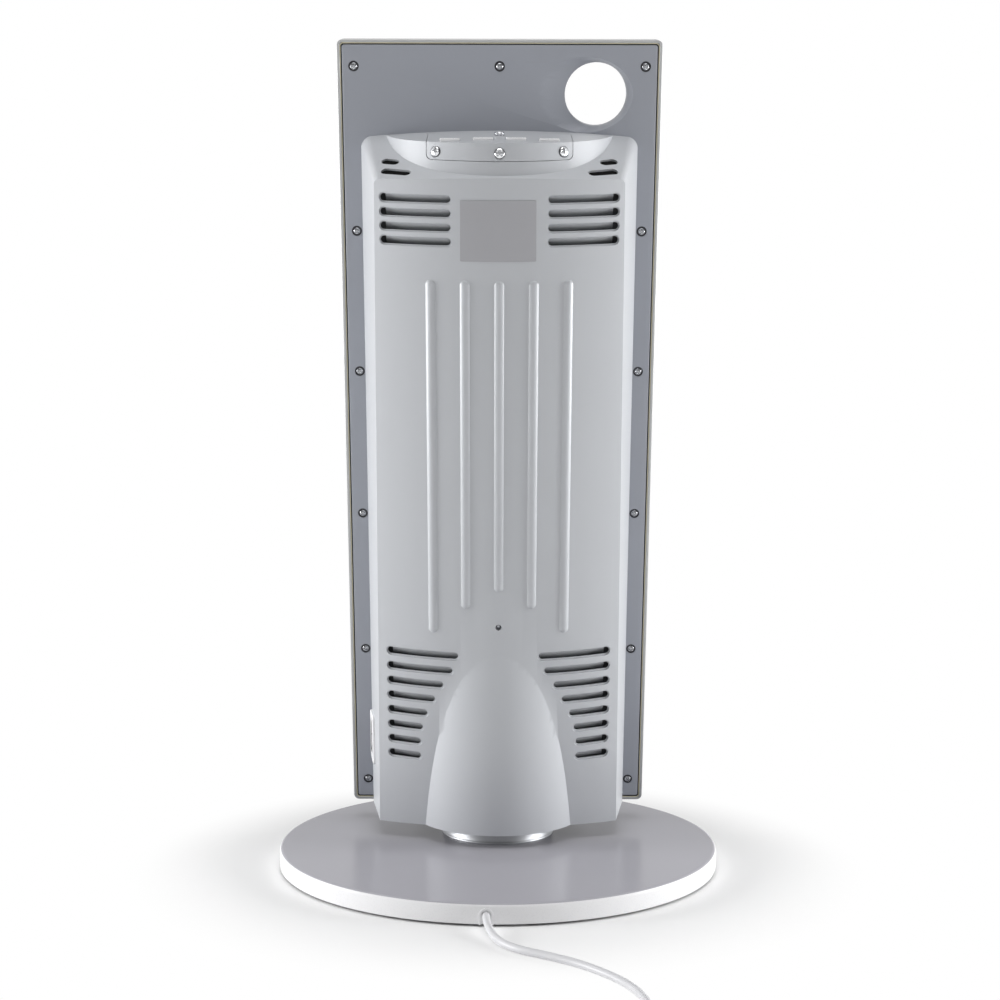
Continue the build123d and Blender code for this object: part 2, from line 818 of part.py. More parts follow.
bracket_sheet = 1.2
lower_bracket_s = window_bottom - 1 - bracket_sheet
upper_bracket_s = window_top + 1
with BuildPart() as reflector_ends:
    for end_s in (lower_bracket_s, upper_bracket_s):
        with BuildSketch(level(end_s)):
            with BuildLine():
                end_arc = trough_outline(sheet)
                Line(end_arc @ 0, end_arc @ 1)
            make_face()
            with Locations((-tube_x, -tube_t), (tube_x, -tube_t)):
                Circle(3, mode=Mode.SUBTRACT)
        extrude(amount=bracket_sheet)
save(reflector_ends, "reflector_ends")

cap_length = 24.0
cap_bore_depth = 11.0
lower_cap_s = window_bottom - 1
upper_cap_s = window_top + 1 - cap_length
with BuildPart() as ceramic_caps:
    for cap_s, bore_s in (
        (lower_cap_s, lower_cap_s + cap_length - cap_bore_depth),
        (upper_cap_s, upper_cap_s),
    ):
        with BuildSketch(level(cap_s)):
            with Locations((-tube_x, -tube_t), (tube_x, -tube_t)):
                Circle(9)
        extrude(amount=cap_length)
        with BuildSketch(level(bore_s)):
            with Locations((-tube_x, -tube_t), (tube_x, -tube_t)):
                Circle(tube_radius + running_gap)
        extrude(amount=cap_bore_depth, mode=Mode.SUBTRACT)
save(ceramic_caps, "ceramic_caps")

tube_start = lower_cap_s + cap_length - cap_bore_depth + 0.1
tube_end = upper_cap_s + cap_bore_depth - 0.1
with BuildPart() as quartz_tubes:
    with BuildSketch(level(tube_start)):
        with Locations((-tube_x, -tube_t), (tube_x, -tube_t)):
            Circle(tube_radius)
            Circle(tube_radius - tube_wall, mode=Mode.SUBTRACT)
    extrude(amount=tube_end - tube_start)
save(quartz_tubes, "quartz_tubes")

seal_length = 6.0
with BuildPart() as carbon_filaments:
    with BuildSketch(level(tube_start + seal_length / 2)):
        with Locations((-tube_x, -tube_t), (tube_x, -tube_t)):
            Circle(1.8)
    extrude(amount=tube_end - tube_start - seal_length)
    for seal_s in (tube_start, tube_end - seal_length):
        with BuildSketch(level(seal_s)):
            with Locations((-tube_x, -tube_t), (tube_x, -tube_t)):
                Circle(tube_radius - tube_wall - running_gap)
        extrude(amount=seal_length)
save(carbon_filaments, "carbon_filaments")

# Heat shield: a channel behind the reflector, on the back plate
shield_bottom = 130.0
shield_top = 590.0
with BuildPart() as heat_shield:
    with BuildSketch(level(shield_bottom)):
        with Locations((0, -shield_depth / 2)):
            Rectangle(2 * shield_half_width, shield_depth)
        with Locations((0, -(shield_depth - sheet) / 2)):
            Rectangle(
                2 * (shield_half_width - sheet), shield_depth - sheet, mode=Mode.SUBTRACT
            )
        with Locations(
            (-shield_half_width - 3.5, -sheet / 2), (shield_half_width + 3.5, -sheet / 2)
        ):
            Rectangle(7, sheet)
    extrude(amount=shield_top - shield_bottom)
    with BuildSketch(panel.offset(shield_depth - 2)):
        with Locations((0, cover_screw_s)):
            Circle(1.7)
    extrude(amount=4, mode=Mode.SUBTRACT)
save(heat_shield, "heat_shield")

with BuildPart() as thermal_cutout:
    with BuildSketch(panel.offset(shield_depth)):
        with Locations((-40, 480)):
            SlotOverall(26, 10)
    extrude(amount=1.2)
    with BuildSketch(panel.offset(shield_depth)):
        with Locations((-40, 480)):
            Circle(8)
    extrude(amount=8)
save(thermal_cutout, "thermal_cutout")

with BuildPart() as terminal_block:
    with BuildSketch(panel):
        with Locations((0, 84)):
            RectangleRounded(44, 16, 1.5)
    extrude(amount=30)
    with BuildSketch(panel.offset(30)):
        with Locations((-12, 84), (0, 84), (12, 84)):
            Circle(2.6)
    extrude(amount=-6, mode=Mode.SUBTRACT)
save(terminal_block, "terminal_block")

# Wiring loom from the terminal block up the shield to the control board
loom_radius = 2.5
loom_t = shield_depth + seat_gap + loom_radius
with BuildPart() as wiring_loom:
    with BuildLine() as loom_path:
        FilletPolyline(
            on_panel(12, 94.1, 18),
            on_panel(12, 101, 25),
            on_panel(12, 118, loom_t),
            on_panel(12, board_s - seat_gap, loom_t),
            radius=12,
        )
    with BuildSketch(Plane(origin=loom_path.line @ 0, z_dir=loom_path.line % 0)):
        Circle(loom_radius)
    sweep(path=loom_path.line)
save(wiring_loom, "wiring_loom")


def cover_half_width(s, t):
    """Half of the cover's width at height s and depth t, with its draft."""
    bottom = cover_half_width_bottom - cover_draft_bottom * t
    top = cover_half_width_top - cover_draft_top * t
    return bottom + (top - bottom) * s / 600.0


def cover_block(inset, first_t, last_t, centre_slope, corner_slope):
    """The drafted block under an arched roof, between two depths, with its walls inset."""
    with BuildPart() as block:
        for t, corner in ((first_t, cover_corner_front), (last_t, cover_corner_rear)):
            centre_s = roof_centre_s - centre_slope * t - 1.1 * inset
            corner_s = roof_corner_s - corner_slope * t - 1.1 * inset
            foot_s = -60.0
            foot_x = cover_half_width(foot_s, t) - inset
            top_x = cover_half_width(corner_s, t) - inset
            with BuildSketch(panel.offset(t)) as outline:
                with BuildLine():
                    Polyline((-top_x, corner_s), (-foot_x, foot_s), (foot_x, foot_s), (top_x, corner_s))
                    ThreePointArc((-top_x, corner_s), (0, centre_s), (top_x, corner_s))
                make_face()
                top_corners = outline.vertices().sort_by(Axis.Y)[-2:]
                fillet(top_corners, radius=corner - inset / 2)
        loft(ruled=True)
    return block.part


def cover_form(inset, front_t):
    """The cover's whole form: block with crowned rear, nose at its foot and control pod on its roof."""
    block = cover_block(inset, front_t, crown_depth + 5, roof_slope_centre, roof_slope_corner)
    pod_limit = cover_block(inset, front_t, crown_depth + 5, pod_top_slope, pod_top_slope)
    angle = math.radians(nose_apex_angle)
    axis_s = nose_apex_s - nose_ridge_radius * math.sin(angle)
    axis_t = crown_depth - nose_ridge_radius * math.cos(angle)
    start = math.radians(nose_apex_angle + 2)
    nose_axis = on_panel(0, axis_s, axis_t)
    nose_plane = Plane(
        origin=nose_axis,
        x_dir=(1, 0, 0),
        z_dir=rearwards * math.sin(start) - up_panel * math.cos(start),
    )
    with BuildPart() as crowned:
        add(block)
        with BuildSketch(level(-80)):
            with Locations((0, crown_radius - crown_depth)):
                Circle(crown_radius - inset)
        extrude(amount=760, mode=Mode.INTERSECT)
    with BuildPart() as nose:
        with BuildSketch(nose_plane):
            with Locations((0, nose_ridge_radius - nose_round)):
                Circle(nose_round - inset)
            with Locations((0, nose_ridge_radius - nose_round - 100)):
                Rectangle(300, 200, mode=Mode.SUBTRACT)
        revolve(axis=Axis(nose_axis, (1, 0, 0)), revolution_arc=14)
    with BuildPart() as pod:
        foot_s = pod_foot_s - inset
        foot_radius = pod_foot_radius + pod_flare * inset - inset
        rise = 45.0
        with Locations(level(foot_s) * Pos(0, -pod_axis_t, 0)):
            Cone(
                foot_radius,
                foot_radius - pod_flare * rise,
                rise,
                align=(Align.CENTER, Align.CENTER, Align.MIN),
            )
        add(pod_limit, mode=Mode.INTERSECT)
    with BuildPart() as form:
        add(crowned.part)
        add(nose.part)
        add(pod.part)
        with BuildSketch(panel.offset(front_t)):
            with Locations((0, 300)):
                Rectangle(400, 900)
        extrude(amount=160, mode=Mode.INTERSECT)
    return form.part


def roof_s(x, t):
    """Height of the pod's top at a place across and behind the panel."""
    drop = (roof_centre_s - roof_corner_s) * (x / cover_half_width(600, t)) ** 2
    return roof_centre_s - drop - pod_top_slope * t


def pod_wall_place(angle, s, sunk):
    """Plane square to the pod's wall at an angle round the pod, a little below its surface."""
    turn = math.radians(angle)
    flare = math.atan(pod_flare)
    radius = pod_foot_radius - pod_flare * (s - pod_foot_s)
    across = Vector(math.cos(turn), 0, 0) - rearwards * math.sin(turn)
    outwards = Vector(math.sin(turn), 0, 0) + rearwards * math.cos(turn)
    normal = outwards * math.cos(flare) + up_panel * math.sin(flare)
    surface = on_panel(0, s, pod_axis_t) + outwards * radius
    return Plane(origin=surface - normal * sunk, x_dir=across, z_dir=normal)


control_screw_places = [
    pod_wall_place(angle, control_screw_s, 0.6) for angle in control_screw_angles
]

# The power switch sits square to the drafted side wall
switch_draft = math.atan(cover_draft_bottom)
switch_wall = Plane(
    origin=on_panel(-cover_half_width(switch_s, switch_t), switch_s, switch_t),
    x_dir=up_panel,
    z_dir=Vector(-math.cos(switch_draft), 0, 0) + rearwards * math.sin(switch_draft),
)

outer_form = cover_form(0, 0)
inner_form = cover_form(cover_wall, -5)


def vent_spans():
    """Every vent on the rear face: its height, its inner end and how far its louvre drops."""
    spans = []
    for row in range(upper_vent_count):
        vent_s = upper_vent_top_s - row * upper_vent_pitch
        spans.append((vent_s, upper_vent_inner_x, upper_louvre_drop))
    for row, inner_x in enumerate(lower_vent_inner_x):
        vent_s = lower_vent_top_s - row * lower_vent_pitch
        spans.append((vent_s, inner_x, lower_louvre_drop))
    return spans


def vent_slots(shrink):
    """Both sides' vents as rounded slots in a sketch, each shrunk all round."""
    for side in (-1, 1):
        for s, inner_x, louvre_drop in vent_spans():
            with Locations((side * (vent_outer_x + inner_x) / 2, s)):
                SlotOverall(
                    vent_outer_x - inner_x - 2 * shrink, vent_rim_height - 2 * shrink
                )


# Rear cover: a moulded shell with ribs, vents, the control opening and screw posts
foot_plane = Plane(
    origin=(0, panel_foot_y, panel_foot_z),
    x_dir=(1, 0, 0),
    z_dir=(0, -math.sin(math.radians(cover_foot_slope)), math.cos(math.radians(cover_foot_slope))),
)
rib_round = (rib_width**2 / 4 + rib_height**2) / (2 * rib_height)
with BuildPart() as vent_rims:
    with BuildSketch(panel.offset(30)):
        vent_slots(0)
    extrude(amount=60)
    with BuildSketch(level(-80)):
        with Locations((0, crown_radius - crown_depth)):
            Circle(crown_radius - vent_rim_depth)
    extrude(amount=760, mode=Mode.SUBTRACT)

# Louvre blades as rings round the crown's axis, cut to the length of each slot
crown_axis = Plane(
    origin=on_panel(0, 0, crown_depth - crown_radius), x_dir=rearwards, z_dir=(-1, 0, 0)
)
with BuildPart() as louvre_rings:
    with BuildSketch(crown_axis):
        for s, inner_x, louvre_drop in vent_spans():
            root = crown_radius - louvre_root_depth
            tip = crown_radius - louvre_tip_depth
            with BuildLine():
                Polyline(
                    (root, s + louvre_root_rise),
                    (root, s + louvre_root_rise + louvre_thickness),
                    (tip, s - louvre_drop + louvre_thickness),
                    (tip, s - louvre_drop),
                    close=True,
                )
            make_face()
    revolve(axis=Axis(crown_axis.origin, up_panel))
with BuildPart() as louvres:
    with BuildSketch(panel.offset(30)):
        for side in (-1, 1):
            for s, inner_x, louvre_drop in vent_spans():
                with Locations((side * (louvre_outer_x + inner_x) / 2, s)):
                    Rectangle(louvre_outer_x - inner_x, upper_vent_pitch)
    extrude(amount=60)
    add(louvre_rings.part, mode=Mode.INTERSECT)

with BuildPart() as rear_cover:
    add(outer_form)
    for column, bottom_s in enumerate(rib_bottom_s):
        rib_x = (column - 2) * rib_pitch
        crown_t = crown_depth - crown_radius + math.sqrt(crown_radius**2 - rib_x**2)
        axis_t = crown_t + rib_height - rib_round
        with Locations(level(bottom_s + rib_round) * Pos(rib_x, -axis_t, 0)):
            Cylinder(
                rib_round,
                rib_top_s - bottom_s - 2 * rib_round,
                align=(Align.CENTER, Align.CENTER, Align.MIN),
            )
            Sphere(rib_round)
        with Locations(level(rib_top_s - rib_round) * Pos(rib_x, -axis_t, 0)):
            Sphere(rib_round)
    add(inner_form, mode=Mode.SUBTRACT)
    add(vent_rims.part, mode=Mode.SUBTRACT)
    with BuildSketch(panel.offset(30)):
        vent_slots(vent_rim_width)
    extrude(amount=60, mode=Mode.SUBTRACT)
    for vent_t, inner_x in zip(roof_vent_t, roof_vent_inner_x):
        slope = math.radians(25)
        vent_s = roof_corner_s + 1.5 - roof_slope_corner * vent_t
        roof_plane = Plane(
            origin=on_panel(0, vent_s, vent_t),
            x_dir=(1, 0, 0),
            z_dir=up_panel * math.cos(slope) + rearwards * math.sin(slope),
        )
        with BuildSketch(roof_plane.offset(-10)):
            for side in (-1, 1):
                with Locations((side * (roof_vent_outer_x + inner_x) / 2, 0)):
                    SlotOverall(
                        roof_vent_outer_x - inner_x, roof_vent_height, rotation=side * roof_vent_turn
                    )
        extrude(amount=20, mode=Mode.SUBTRACT)
    with BuildSketch(panel.offset(control_front_t - control_gap)):
        with Locations((0, control_foot_s - control_gap + 25)):
            RectangleRounded(2 * (control_half_width + control_gap), 50, control_corner)
    extrude(amount=90, mode=Mode.SUBTRACT)
    split(bisect_by=foot_plane, keep=Keep.TOP)
    add(louvres.part)
    with BuildSketch(panel.offset(shield_depth + seat_gap)):
        with Locations((0, cover_screw_s)):
            Circle(4.5)
    extrude(amount=crown_depth - 1 - shield_depth - seat_gap)
    with BuildSketch(panel.offset(shield_depth)):
        with Locations((0, cover_screw_s)):
            Circle(1.9)
    extrude(amount=50, mode=Mode.SUBTRACT)
    with BuildSketch(panel.offset(cover_screw_seat_t)):
        with Locations((0, cover_screw_s)):
            Circle(2.7)
    extrude(amount=10, mode=Mode.SUBTRACT)
    with BuildSketch(switch_wall.offset(-switch_sunk)):
        Rectangle(switch_height + 0.2, switch_width + 0.2)
    extrude(amount=10, mode=Mode.SUBTRACT)
    with BuildSketch(switch_wall.offset(-8)):
        Rectangle(switch_height - 6, switch_width - 4)
    extrude(amount=10, mode=Mode.SUBTRACT)
    for place in control_screw_places:
        with BuildSketch(place.offset(-pod_boss_depth)):
            Circle(pod_boss_radius)
        extrude(amount=pod_boss_depth - cover_wall - seat_gap + 0.6)
        with BuildSketch(place.offset(-pod_boss_depth)):
            with Locations((0, -8)):
                Rectangle(2 * pod_boss_radius, 16)
        extrude(amount=pod_boss_depth - cover_wall - seat_gap + 0.6)
        with BuildSketch(place.offset(-pod_boss_depth)):
            with Locations((0, -11.6)):
                Rectangle(2 * pod_boss_radius, 8)
        extrude(amount=pod_boss_depth - 0.8)
        with BuildSketch(place.offset(-pod_boss_depth)):
            Circle(pilot_radius)
        extrude(amount=pod_boss_depth, mode=Mode.SUBTRACT)
save(rear_cover, "rear_cover")

cover_screw = pan_head_screw(2.3, 1.8, 1.6, cover_screw_seat_t - shield_depth + 3)
with BuildPart() as rear_cover_screw:
    with Locations(panel.offset(cover_screw_seat_t) * Pos(0, cover_screw_s, 0)):
        add(cover_screw)
save(rear_cover_screw, "rear_cover_screw")

# Blank rating label on the crown
with BuildPart() as rating_label:
    with BuildSketch(panel.offset(50)):
        with Locations((-1, 548.2)):
            RectangleRounded(62, 49.5, 1)
    extrude(amount=50)
    with BuildSketch(level(500)):
        with Locations((0, crown_radius - crown_depth)):
            Circle(crown_radius + 0.4)
            Circle(crown_radius + 0.15, mode=Mode.SUBTRACT)
    extrude(amount=100, mode=Mode.INTERSECT)
save(rating_label, "rating_label")

# Control cover: the middle of the pod as a separate lid that carries the buttons
with BuildPart() as control_cover:
    add(outer_form)
    add(inner_form, mode=Mode.SUBTRACT)
    with BuildSketch(panel.offset(control_front_t)):
        with Locations((0, control_foot_s + 25)):
            RectangleRounded(2 * control_half_width, 50, control_corner)
    extrude(amount=90, mode=Mode.INTERSECT)
    with BuildSketch(level(board_s + board_thickness)):
        with Locations((-26, -board_screw_t), (26, -board_screw_t)):
            Circle(2.5)
    extrude(amount=roof_s(26, board_screw_t) - cover_wall - board_s - board_thickness)
    with BuildSketch(level(board_s + board_thickness)):
        with Locations((-26, -board_screw_t), (26, -board_screw_t)):
            Circle(1.1)
    extrude(amount=6, mode=Mode.SUBTRACT)
    with BuildSketch(level(board_s + 8)):
        with Locations(*[(x, -button_t) for x in button_x]):
            RectangleRounded(button_width + 2 * button_gap, button_depth + 2 * button_gap, 1)
        with Locations((0, -indicator_t)):
            Circle(3.3)
    extrude(amount=20, mode=Mode.SUBTRACT)
    for place in control_screw_places:
        with BuildSketch(place):
            Circle(4.8)
        extrude(amount=6, mode=Mode.SUBTRACT)
        with BuildSketch(place.offset(-6)):
            Circle(2.0)
        extrude(amount=8, mode=Mode.SUBTRACT)
save(control_cover, "control_cover")

control_screw = pan_head_screw(4.3, 2.6, 1.6, 9.0)
with BuildPart() as control_cover_screws:
    with Locations(*[place.location for place in control_screw_places]):
        add(control_screw)
save(control_cover_screws, "control_cover_screws")

# Indicator window and its chrome bezel on the control cover
indicator_s = roof_s(0, indicator_t)
with BuildPart() as indicator_bezel:
    with BuildSketch(level(indicator_s - cover_wall)):
        with Locations((0, -indicator_t)):
            Circle(3.3 - running_gap)
            Circle(2.4, mode=Mode.SUBTRACT)
    extrude(amount=cover_wall + 1)
    with BuildSketch(level(indicator_s + 0.3)):
        with Locations((0, -indicator_t)):
            Circle(4.2)
            Circle(2.4, mode=Mode.SUBTRACT)
    extrude(amount=2.2)
    top_edges = indicator_bezel.edges().filter_by(GeomType.CIRCLE).sort_by(Axis((0, 0, 0), up_panel))
    fillet(top_edges[-1], radius=0.6)
save(indicator_bezel, "indicator_bezel")

with BuildPart() as indicator_lens:
    with BuildSketch(level(indicator_s - cover_wall)):
        with Locations((0, -indicator_t)):
            Circle(2.4 - running_gap)
    extrude(amount=cover_wall + 1.6)
save(indicator_lens, "indicator_lens")

# Control board with its push switches and screws
with BuildPart() as control_board:
    with BuildSketch(level(board_s)):
        with Locations((0, -37)):
            Rectangle(82, 38)
        with Locations((-26, -board_screw_t), (26, -board_screw_t)):
            Circle(1.3, mode=Mode.SUBTRACT)
    extrude(amount=board_thickness)
save(control_board, "control_board")

key_height = 3.6
with BuildPart() as key_switches:
    with BuildSketch(level(board_s + board_thickness)):
        with Locations(*[(x, -button_t) for x in stem_x]):
            Rectangle(6, 6)
    extrude(amount=key_height - 0.8)
    with BuildSketch(level(board_s + board_thickness)):
        with Locations(*[(x, -button_t) for x in stem_x]):
            Circle(1.7)
    extrude(amount=key_height)
save(key_switches, "key_switches")

board_screw = pan_head_screw(2.4, 1.6, 1.1, 6.0)
with BuildPart() as board_screws:
    for x in (-26, 26):
        place = Plane(origin=on_panel(x, board_s, board_screw_t), x_dir=(1, 0, 0), z_dir=-up_panel)
        with Locations(place.location):
            add(board_screw)
save(board_screws, "board_screws")

# Four push buttons, each its own moving piece
key_top_s = board_s + board_thickness + key_height
for number, (x, stem) in enumerate(zip(button_x, stem_x), start=1):
    wall_foot_s = roof_s(abs(x) + button_width / 2, button_t + button_depth) - 1.1 * cover_wall - 0.1
    cap_top_s = roof_s(x, button_t) + button_proud
    with BuildPart() as button:
        with BuildSketch(level(wall_foot_s - 1)):
            with Locations((x, -button_t)):
                RectangleRounded(
                    button_width + 2 * button_flange, button_depth + 1.2 * button_flange, 1
                )
        extrude(amount=1)
        with BuildSketch(level(wall_foot_s - 0.5)):
            with Locations((x, -button_t)):
                RectangleRounded(button_width, button_depth, 1)
        extrude(amount=cap_top_s - wall_foot_s + 0.5)
        cap_edges = button.faces().sort_by(Axis((0, 0, 0), up_panel))[-1].edges()
        fillet(cap_edges, radius=0.7)
        with BuildSketch(level(key_top_s + button_travel + 0.1)):
            with Locations((stem, -button_t)):
                Circle(2.2)
        extrude(amount=wall_foot_s - 0.5 - key_top_s - button_travel - 0.1)
    save(button, f"button_{number}")

# Power switch on the side wall: a bezel with a rocker on two pins
with BuildPart() as power_switch_bezel:
    with BuildSketch(switch_wall.offset(-switch_sunk)):
        RectangleRounded(switch_height, switch_width, 2)
    extrude(amount=switch_sunk + switch_proud)
    proud_edges = power_switch_bezel.faces().sort_by(Axis(switch_wall.origin, switch_wall.z_dir))[-1]
    fillet(proud_edges.edges(), radius=1.0)
    with BuildSketch(switch_wall.offset(-12)):
        Rectangle(switch_height - 6.4, switch_width - 4.4)
    extrude(amount=12)
    with BuildSketch(switch_wall.offset(-9.5)):
        Rectangle(rocker_height + 2 * rocker_gap, rocker_width + 2 * rocker_gap)
    extrude(amount=20, mode=Mode.SUBTRACT)
    with BuildSketch(Plane(origin=switch_wall.origin, x_dir=switch_wall.x_dir, z_dir=switch_wall.y_dir)):
        Circle(rocker_pin_radius + running_gap)
    extrude(amount=rocker_width / 2 + 1.6, both=True, mode=Mode.SUBTRACT)
save(power_switch_bezel, "power_switch_bezel")

rocker_plane = Plane(
    origin=switch_wall.origin, x_dir=switch_wall.x_dir, z_dir=-switch_wall.y_dir
)
raised_end = rocker_level + 14.6 * math.tan(math.radians(rocker_tilt))
with BuildPart() as power_rocker:
    with BuildSketch(rocker_plane):
        with BuildLine():
            Polyline(
                (-15.4, -4),
                (-14.6, raised_end),
                (0, rocker_level),
                (15.6, rocker_level),
                (15.4, -4),
                close=True,
            )
        make_face()
    extrude(amount=rocker_width / 2, both=True)
    with BuildSketch(rocker_plane):
        Circle(rocker_pin_radius)
    extrude(amount=rocker_width / 2 + 1.3, both=True)
save(power_rocker, "power_rocker")

# Mains lead: free run over the floor, flat coil and plug
cord_route = [
    cord_exit,
    (notch_x, -210, notch_centre_z),
    (-3.5, -232, 3.6),
    (10, -256, cord_z),
    (40, -275.5, cord_z),
    (66, -297, cord_z),
    (97, -340, cord_z),
    (107, -395, cord_z),
    (107, -451, cord_z),
]


def bend_radii(points):
    """For each corner, the radius that leaves 45 per cent of the shorter run beside it."""
    radii = []
    for before, corner, after in zip(points, points[1:], points[2:]):
        run_in = Vector(*corner) - Vector(*before)
        run_out = Vector(*after) - Vector(*corner)
        turn = math.radians(run_in.get_angle(run_out))
        radii.append(0.45 * min(run_in.length, run_out.length) / math.tan(turn / 2))
    return radii


cord_radii = bend_radii(cord_route)
with BuildPart() as power_cord:
    with BuildLine() as cord_path:
        FilletPolyline(*cord_route, radius=cord_radii)
    with BuildSketch(Plane(origin=cord_exit, x_dir=(1, 0, 0), z_dir=(0, -1, 0))):
        Circle(cord_diameter / 2)
    sweep(path=cord_path.line)
save(power_cord, "power_cord")
cord_length = cord_path.wires()[0].length
print("cord bend radii", [round(radius, 1) for radius in cord_radii])
print("power_cord length", round(cord_length, 1), "volume", round(power_cord.part.volume, 1))

# The coil winds inwards on the floor in half turns, climbs one layer and winds outwards
coil_start = Vector(*cord_route[-1])
with BuildPart() as power_cord_coil:
    with BuildLine() as coil_path:
        place = coil_start
        side = 1
        radius = coil_start_radius
        for half_turn in range(coil_lower_half_turns):
            middle = place + Vector(side * radius, -side * radius, 0)
            end = place + Vector(side * 2 * radius, 0, 0)
            ThreePointArc(place, middle, end)
            place = end
            side = -side
            radius -= coil_pitch / 2
        rise = coil_layer / 2
        crest = place + Vector(side * radius, -side * math.hypot(radius, rise), rise)
        end = place + Vector(side * 2 * radius, 0, coil_layer)
        climb = TangentArc(place, crest, tangent=(0, -side, 0))
        TangentArc(crest, end, tangent=climb % 1)
        place = end
        side = -side
        radius += coil_pitch / 2
        for half_turn in range(coil_upper_half_turns):
            middle = place + Vector(side * radius, -side * radius, 0)
            end = place + Vector(side * 2 * radius, 0, 0)
            ThreePointArc(place, middle, end)
            place = end
            side = -side
            radius += coil_pitch / 2
        plug_start = place + Vector(0, -coil_tail, 0)
        Line(place, plug_start)
    with BuildSketch(Plane(origin=coil_start, x_dir=(1, 0, 0), z_dir=(0, -1, 0))):
        Circle(cord_diameter / 2)
    sweep(path=coil_path.line)
save(power_cord_coil, "power_cord_coil")
coil_wire = coil_path.wires()[0]
coil_length = coil_wire.length
print("coil length", round(coil_length, 1), "volume", round(power_cord_coil.part.volume, 1))
print("section times length", round(math.pi * cord_diameter**2 / 4 * coil_length, 1))
print("mains lead from the rim to the plug", round(cord_length + coil_length, 1))

samples = [tuple(coil_wire @ (index / 1200)) for index in range(1201)]
least_gap = min(
    math.dist(first, second)
    for position, first in enumerate(samples)
    for second in samples[position + 24 :]
)
print("least gap between the coil's turns", round(least_gap - cord_diameter, 2))

# Plug: a moulded body that lies on the floor, and three pins in line
plug_height = 2 * plug_start.Z
relief_length = 22.0
plug_length = 34.0
with BuildPart() as plug_body:
    with Locations(Location(plug_start, (90, 0, 0))):
        Cone(
            4.6, 6.4, relief_length, align=(Align.CENTER, Align.CENTER, Align.MIN)
        )
    body_middle_y = plug_start.Y - relief_length - plug_length / 2 + 1
    with Locations((plug_start.X, body_middle_y, plug_height / 2)):
        Box(32, plug_length, plug_height)
    corner_edges = plug_body.edges().filter_by(Axis.Y)
    fillet(corner_edges, radius=6)
save(plug_body, "plug_body")

plug_face_y = plug_start.Y - relief_length - plug_length + 1
with BuildPart() as plug_pins:
    for across in (-9.5, 0, 9.5):
        pin_place = (plug_start.X + across, plug_face_y, plug_start.Z)
        with Locations(Location(pin_place, (90, 0, 0))):
            Cylinder(2, 17.5, align=(Align.CENTER, Align.CENTER, Align.MIN))
        with Locations((plug_start.X + across, plug_face_y - 17.5, plug_start.Z)):
            Sphere(2)
save(plug_pins, "plug_pins")
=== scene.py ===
import json
import math

import bpy
import numpy as np
from mathutils import Matrix, Vector

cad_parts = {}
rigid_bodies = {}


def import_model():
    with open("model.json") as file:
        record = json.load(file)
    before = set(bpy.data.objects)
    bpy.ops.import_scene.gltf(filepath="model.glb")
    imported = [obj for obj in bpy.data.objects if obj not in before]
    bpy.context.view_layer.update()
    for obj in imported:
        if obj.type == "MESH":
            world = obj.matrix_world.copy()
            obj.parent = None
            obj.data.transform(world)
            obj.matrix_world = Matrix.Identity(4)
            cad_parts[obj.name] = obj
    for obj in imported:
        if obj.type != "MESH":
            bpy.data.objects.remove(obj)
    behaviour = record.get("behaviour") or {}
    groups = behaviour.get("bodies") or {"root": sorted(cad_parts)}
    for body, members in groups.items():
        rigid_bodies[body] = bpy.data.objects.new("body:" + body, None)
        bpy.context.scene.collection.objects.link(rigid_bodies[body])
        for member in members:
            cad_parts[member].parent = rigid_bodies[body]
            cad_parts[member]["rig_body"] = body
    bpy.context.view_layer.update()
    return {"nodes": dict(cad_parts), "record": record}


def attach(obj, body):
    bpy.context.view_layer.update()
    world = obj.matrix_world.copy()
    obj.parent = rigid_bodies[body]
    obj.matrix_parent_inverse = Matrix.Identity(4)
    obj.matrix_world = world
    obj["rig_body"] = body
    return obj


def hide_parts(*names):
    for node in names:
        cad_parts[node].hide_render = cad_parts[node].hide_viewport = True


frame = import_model()
nodes = frame["nodes"]
MM = 0.001

# The panel leans back: s runs up it, t runs rearwards out of it, both from its foot, in millimetres
LEAN = math.radians(13)
FOOT_Y = 75.0
FOOT_Z = 36.0


def from_panel(x, s, t):
    """World points in metres from panel points in millimetres.

    Y = foot - s sin(lean) - t cos(lean) and Z = foot + s cos(lean) - t sin(lean).
    """
    x, s, t = np.broadcast_arrays(x, s, t)
    y = FOOT_Y - s * math.sin(LEAN) - t * math.cos(LEAN)
    z = FOOT_Z + s * math.cos(LEAN) - t * math.sin(LEAN)
    return np.stack([x, y, z], axis=-1) * MM


def placed(local, origin, x_dir, z_dir):
    """Local points (last axis 3, millimetres), turned to the x and z directions and moved to the origin."""
    z_dir = np.array(z_dir, float) / np.linalg.norm(z_dir)
    x_dir = np.array(x_dir, float) - np.dot(x_dir, z_dir) * z_dir
    x_dir = x_dir / np.linalg.norm(x_dir)
    y_dir = np.cross(z_dir, x_dir)
    return local @ np.stack([x_dir, y_dir, z_dir]) + np.array(origin)


REARWARDS = np.array([0.0, -math.cos(LEAN), -math.sin(LEAN)])
UP_PANEL = np.array([0.0, -math.sin(LEAN), math.cos(LEAN)])


# Meshes from grids


def grid_faces(rows, columns, wrap=False):
    """Quads of a grid of rows x columns points stored row by row; wrap joins the last column to the first."""
    j = np.arange(rows - 1)[:, None]
    i = np.arange(columns if wrap else columns - 1)[None, :]
    right = (i + 1) % columns
    a = j * columns + i
    b = j * columns + right
    c = (j + 1) * columns + right
    d = (j + 1) * columns + i
    return np.stack([a, b, c, d], axis=-1).reshape(-1, 4)


